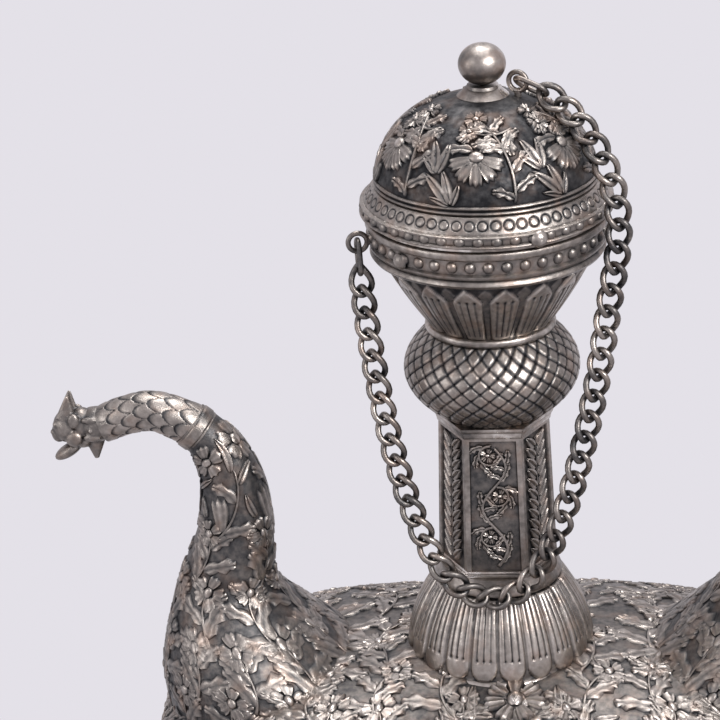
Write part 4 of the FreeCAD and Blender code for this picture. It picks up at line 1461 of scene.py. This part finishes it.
def horn_piece(horn, name, node):
    """A horn with sprays that climb it, then tulips, and open flowers near its tip."""
    bm = sheet_start()
    horn.sheet(bm, HORN_START, horn.length(), rows=100, columns=72, pattern=plain_ground)
    for row, (distance, count, length, leaf) in enumerate(HORN_ROWS):
        way = 1 if row % 2 else -1
        for index in range(count):
            angle = 360 * (index + 0.5 * (row % 2)) / count
            heading = math.radians(90 - way * 35)
            spray(bm, horn.spot(distance, angle), heading, length, way * 0.05, leaf, HORN_RELIEF)
    for index in range(TULIPS):
        angle = 360 * index / TULIPS + TULIP_START
        tulip(bm, horn.spot(TULIP_AT, angle))
        tip_flower(bm, horn.spot(horn.length() - TIP_FLOWER_BACK, angle))
    # The darker finish paints shade on the horns.
    finish_piece(bm, name, "pot", [node], DARK_SILVER)


horn_piece(SPOUT_HORN, "spout_horn", "spout_root")
horn_piece(HANDLE_HORN, "handle_horn", "handle_root")

# %% [markdown]
# A plain band hides the joint above each horn. Beyond it the neck of the beast, and the tail
# that makes the handle, are covered with overlapping scales like a fish's.

# %% Collars, scaled neck and scaled tail
BAND_LONG = 5.0
SCALE_LONG = 4.4
SCALES_ROUND = 8
SCALE_HIGH = 0.35
SCALE_CUT = 0.13
SCALE_FADE = 3


def collar_piece(side, name, node):
    """A rounded band, with a fine line near each edge."""
    out, rise, lean, width, depth = HORN_SECTIONS[-1]
    step = BAND_LONG / HORN_MODULE
    tilt = math.radians(lean)
    far = (out + step * math.sin(tilt), rise + step * math.cos(tilt), lean, width, depth)
    tube = Tube([HORN_SECTIONS[-1], far], side)

    def band(distance, angle):
        share = distance / tube.length()
        swell = 1 - (2 * share - 1) ** 6
        line = dip(share - 0.12, 0.06) + dip(share - 0.88, 0.06)
        return 0.05 + 0.4 * swell - 0.3 * line, 0.62 - 0.5 * line

    bm = sheet_start()
    tube.sheet(bm, 0.0, tube.length(), rows=40, columns=64, pattern=band, thick=0.8)
    finish_piece(bm, name, "pot", [node], PLAIN)


def fish_scales(tube):
    """Round-ended scales cut by dark lines, in rows set over half a scale, fading to a smooth end."""
    def pattern(distance, angle):
        row = distance / SCALE_LONG
        fade = max(0.0, min(1.0, (tube.length() - distance) / SCALE_FADE))
        lift, worn = 0.0, 0.30
        for back in (0, 1):
            index = math.floor(row) - back
            across = (angle / TURN * SCALES_ROUND + 0.5 * (index % 2)) % 1 - 0.5
            reach = (row - index) / (1 + math.sqrt(max(0.0, 1 - (2 * across) ** 2)))
            if reach < 1:
                cut = dip(reach - 1, SCALE_CUT)
                lift = SCALE_HIGH * reach - SCALE_HIGH * cut
                worn = 0.62 - 0.52 * cut
        return lift * fade, worn * fade + 0.5 * (1 - fade)

    return pattern


collar_piece(-1, "spout_band", "spout_collar")
collar_piece(1, "handle_band", "handle_collar")
spout_neck = sheet_start()
NECK = Tube(NECK_SECTIONS, -1)
NECK.sheet(spout_neck, 0.0, NECK.length(), rows=150, columns=140, pattern=fish_scales(NECK))
finish_piece(spout_neck, "scaled_neck", "pot", ["spout_neck"], CHASED)
tail = sheet_start()
TAIL = Tube(TAIL_SECTIONS, 1)
TAIL.sheet(tail, 0.0, TAIL.length(), rows=460, columns=126, pattern=fish_scales(TAIL))
finish_piece(tail, "scaled_tail", "pot", ["handle_tail"], CHASED)

# %% [markdown]
# The spout ends in a small cast head of a beast with open jaws, pointed ears and a beard.
# A cast piece is soft all over, so its balls and cones are melted into one skin with a voxel
# remesh, then smoothed.

# %% Beast's head
HEAD_BACK = NECK.middle(len(NECK_SECTIONS) - 1)
SKIN_VOXEL = 0.32
SKIN_SMOOTHING = 6


def head_lump(bm, place, size, turn=0.0, cone=None):
    """A ball or cone of the head: ahead, beside, above from its back, in millimetres."""
    if cone is None:
        made = bmesh.ops.create_icosphere(bm, subdivisions=3, radius=1)["verts"]
    else:
        made = bmesh.ops.create_cone(bm, cap_ends=True, segments=20, radius1=1, radius2=cone,
                                     depth=2)["verts"]
    shape = Matrix.Diagonal((size[0], size[1], size[2], 1))
    at = Matrix.Translation(Vector((-place[0], place[1], place[2])) + HEAD_BACK)
    turned = Matrix.Rotation(math.radians(turn), 4, "Y")
    bmesh.ops.transform(bm, matrix=Matrix.Scale(MM, 4) @ at @ turned @ shape, verts=made)


def melt(bm, name):
    """Join overlapping closed lumps into one smooth skin."""
    mesh = bpy.data.meshes.new(name)
    bm.to_mesh(mesh)
    bm.free()
    lump = bpy.data.objects.new(name, mesh)
    bpy.context.scene.collection.objects.link(lump)
    remesh = lump.modifiers.new("melt", "REMESH")
    remesh.mode = "VOXEL"
    remesh.voxel_size = SKIN_VOXEL * MM
    smooth = lump.modifiers.new("smooth", "SMOOTH")
    smooth.iterations = SKIN_SMOOTHING
    skin = bpy.data.meshes.new_from_object(lump.evaluated_get(bpy.context.evaluated_depsgraph_get()))
    bpy.data.objects.remove(lump)
    result = sheet_start()
    result.from_mesh(skin)
    return result


def wear_ridges(bm, level, gain):
    """Worn bright where the skin stands out, dark where it is hollow."""
    worn = bm.verts.layers.float["worn"]
    bm.normal_update()
    for vert in bm.verts:
        beside = [edge.other_vert(vert).co for edge in vert.link_edges]
        centre = sum(beside, Vector()) / len(beside)
        vert[worn] = max(0.05, min(0.95, level + gain * (vert.co - centre).dot(vert.normal) / MM))


head = bmesh.new()
head_lump(head, (1.8, 0, 0.1), (5.6, 5.6, 5.9))
head_lump(head, (6.6, 0, 0.4), (4.0, 4.6, 5.4))
head_lump(head, (11.8, 0, -0.4), (4.4, 5.0, 5.4))
head_lump(head, (14.4, 0, -2.6), (2.5, 3.5, 3.2))
head_lump(head, (6.8, 0, -5.2), (3.4, 3.4, 2.7))
head_lump(head, (11.9, 0, -9.0), (5.4, 3.3, 2.1), -31)
head_lump(head, (3.0, 0, -8.2), (3.8, 2.1, 3.8), 180, 0.2)
for side in (-1, 1):
    head_lump(head, (10.8, side * 2.4, 7.0), (3.5, 1.6, 4.0), 6, 0.15)
    head_lump(head, (3.4, side * 4.3, 3.2), (2.8, 1.2, 1.1))
    head_lump(head, (3.0, side * 4.5, -2.8), (2.8, 1.2, 1.3))
    head_lump(head, (3.2, side * 5.2, -0.1), (0.8, 0.8, 0.8))
    head_lump(head, (14.2, side * 2.5, 1.2), (1.7, 1.3, 1.2))
    head_lump(head, (15.8, side * 1.5, -1.8), (1.2, 1.1, 1.0))
    head_lump(head, (9.0, side * 4.2, -3.4), (2.8, 1.2, 2.6))
    head_lump(head, (8.6, side * 4.0, 2.8), (2.0, 1.2, 2.6))
head = melt(head, "head_lumps")
wear_ridges(head, level=0.42, gain=5.0)
finish_piece(head, "beast_head", "pot", ["spout_head"], CHASED, 80)

# %% [markdown]
# The foot splays out to an oval lip, and narrow upright flutes stiffen its side. They would be
# raised over a stake. Here a round wall is fluted first and then squeezed to the oval.

# %% Fluted foot
FOOT_FLUTES = 48
DEPTH_SHARE = BODY_HALF.y / BODY_HALF.x
FOOT_WALL = 3.0
LIP_SHARE = 0.36
LIP_WORN = 0.6
FLUTE_HIGH = 0.9
FLUTE_SINK = 0.6
FOOT_LINE = [(62.0, 0.0), (62.0, 2.2), (61.4, 3.2), (58.6, 5.0), (54.5, 8.5), (51.0, 12.5), (48.6, 18.0),
             (48.0, 25.0)]


def foot_flutes(angle, share, radius, height):
    """Upright ridges above a plain lip."""
    if share < LIP_SHARE:
        return 0.0, LIP_WORN
    across = angle / TURN * FOOT_FLUTES % 1 - 0.5
    ridge = math.cos(math.pi * across)
    return FLUTE_HIGH * ridge - FLUTE_SINK, 0.12 + 0.55 * ridge


foot = sheet_start()
wall_sheet(foot, FOOT_LINE, FOOT_WALL, rows=56, columns=480, pattern=foot_flutes)
bmesh.ops.scale(foot, vec=(1, DEPTH_SHARE, 1), verts=foot.verts[:])
finish_piece(foot, "fluted_foot", "pot", ["foot_ring"], CHASED)

# %% [markdown]
# The chain is made of twisted oval links, which let it lie flat. Each link is bent from a ring
# of round wire: pulled oval, then twisted from end to end, and set where its solid is.

# %% Curb chain
WIRE_R = 1.0
LINK_LONG = 9.4
LINK_WIDE = 6.6
LINK_TWIST = math.radians(45)
LINK_OUTWARD = 0.35
LINK_WORN = 0.6
LINK_STEPS = 24
WIRE_SIDES = 8
TANGENT_STEP = 0.01
SAME_POINT = 0.001
CHAIN = [("chain_lid_run", "lid", -1), ("chain_lid_swing", "lid_swing", -1),
         ("chain_cup_swing", "cup_swing", 1), ("chain_cup_run", "pot", 1)]


def link_middles(node, order):
    """The middle of each separate link of a solid, in the chain's order."""
    bm = bmesh.new()
    bm.from_mesh(frame["nodes"][node].data)
    bmesh.ops.remove_doubles(bm, verts=bm.verts[:], dist=SAME_POINT * MM)
    left = set(bm.verts)
    middles = []
    while left:
        island = []
        waiting = [left.pop()]
        while waiting:
            vert = waiting.pop()
            island.append(vert.co.copy())
            for edge in vert.link_edges:
                other = edge.other_vert(vert)
                if other in left:
                    left.remove(other)
                    waiting.append(other)
        low = Vector([min(co[axis] for co in island) for axis in range(3)])
        high = Vector([max(co[axis] for co in island) for axis in range(3)])
        middles.append((low + high) / 2)
    bm.free()
    return sorted(middles, key=lambda point: order * point.z)


def twisted_link(bm, middle, along):
    """One link, its long way along the chain and its flat side to the front, a little outwards."""
    flat_side = Vector((0, -1, 0)) + LINK_OUTWARD * Vector((middle.x, middle.y, 0)).normalized()
    across = along.cross(flat_side).normalized()
    face = across.cross(along).normalized()

    def wire(turn):
        share = math.cos(turn)
        twist = LINK_TWIST * share
        wide = LINK_WIDE / 2 * math.sin(turn)
        beside = across * math.cos(twist) + face * math.sin(twist)
        return along * (LINK_LONG / 2 * share) + beside * wide

    def place(around, side):
        turn = TURN * around
        ahead = (wire(turn + TANGENT_STEP) - wire(turn - TANGENT_STEP)).normalized()
        out = (wire(turn) - ahead * wire(turn).dot(ahead)).normalized()
        up = ahead.cross(out)
        angle = TURN * side
        ring = out * math.cos(angle) + up * math.sin(angle)
        return middle + (wire(turn) + ring * WIRE_R) * MM, LINK_WORN

    bend_sheet(bm, LINK_STEPS, WIRE_SIDES, place)


links = [(node, point) for node, body, order in CHAIN for point in link_middles(node, order)]
print("links", len(links))
for node, body, order in CHAIN:
    bm = sheet_start()
    for index, (owner, point) in enumerate(links):
        if owner == node:
            near = links[max(index - 1, 0)][1]
            far = links[min(index + 1, len(links) - 1)][1]
            twisted_link(bm, point, (far - near).normalized())
    close_outward(bm)
    finish_piece(bm, "curb_" + node, body, [node], WIRE)
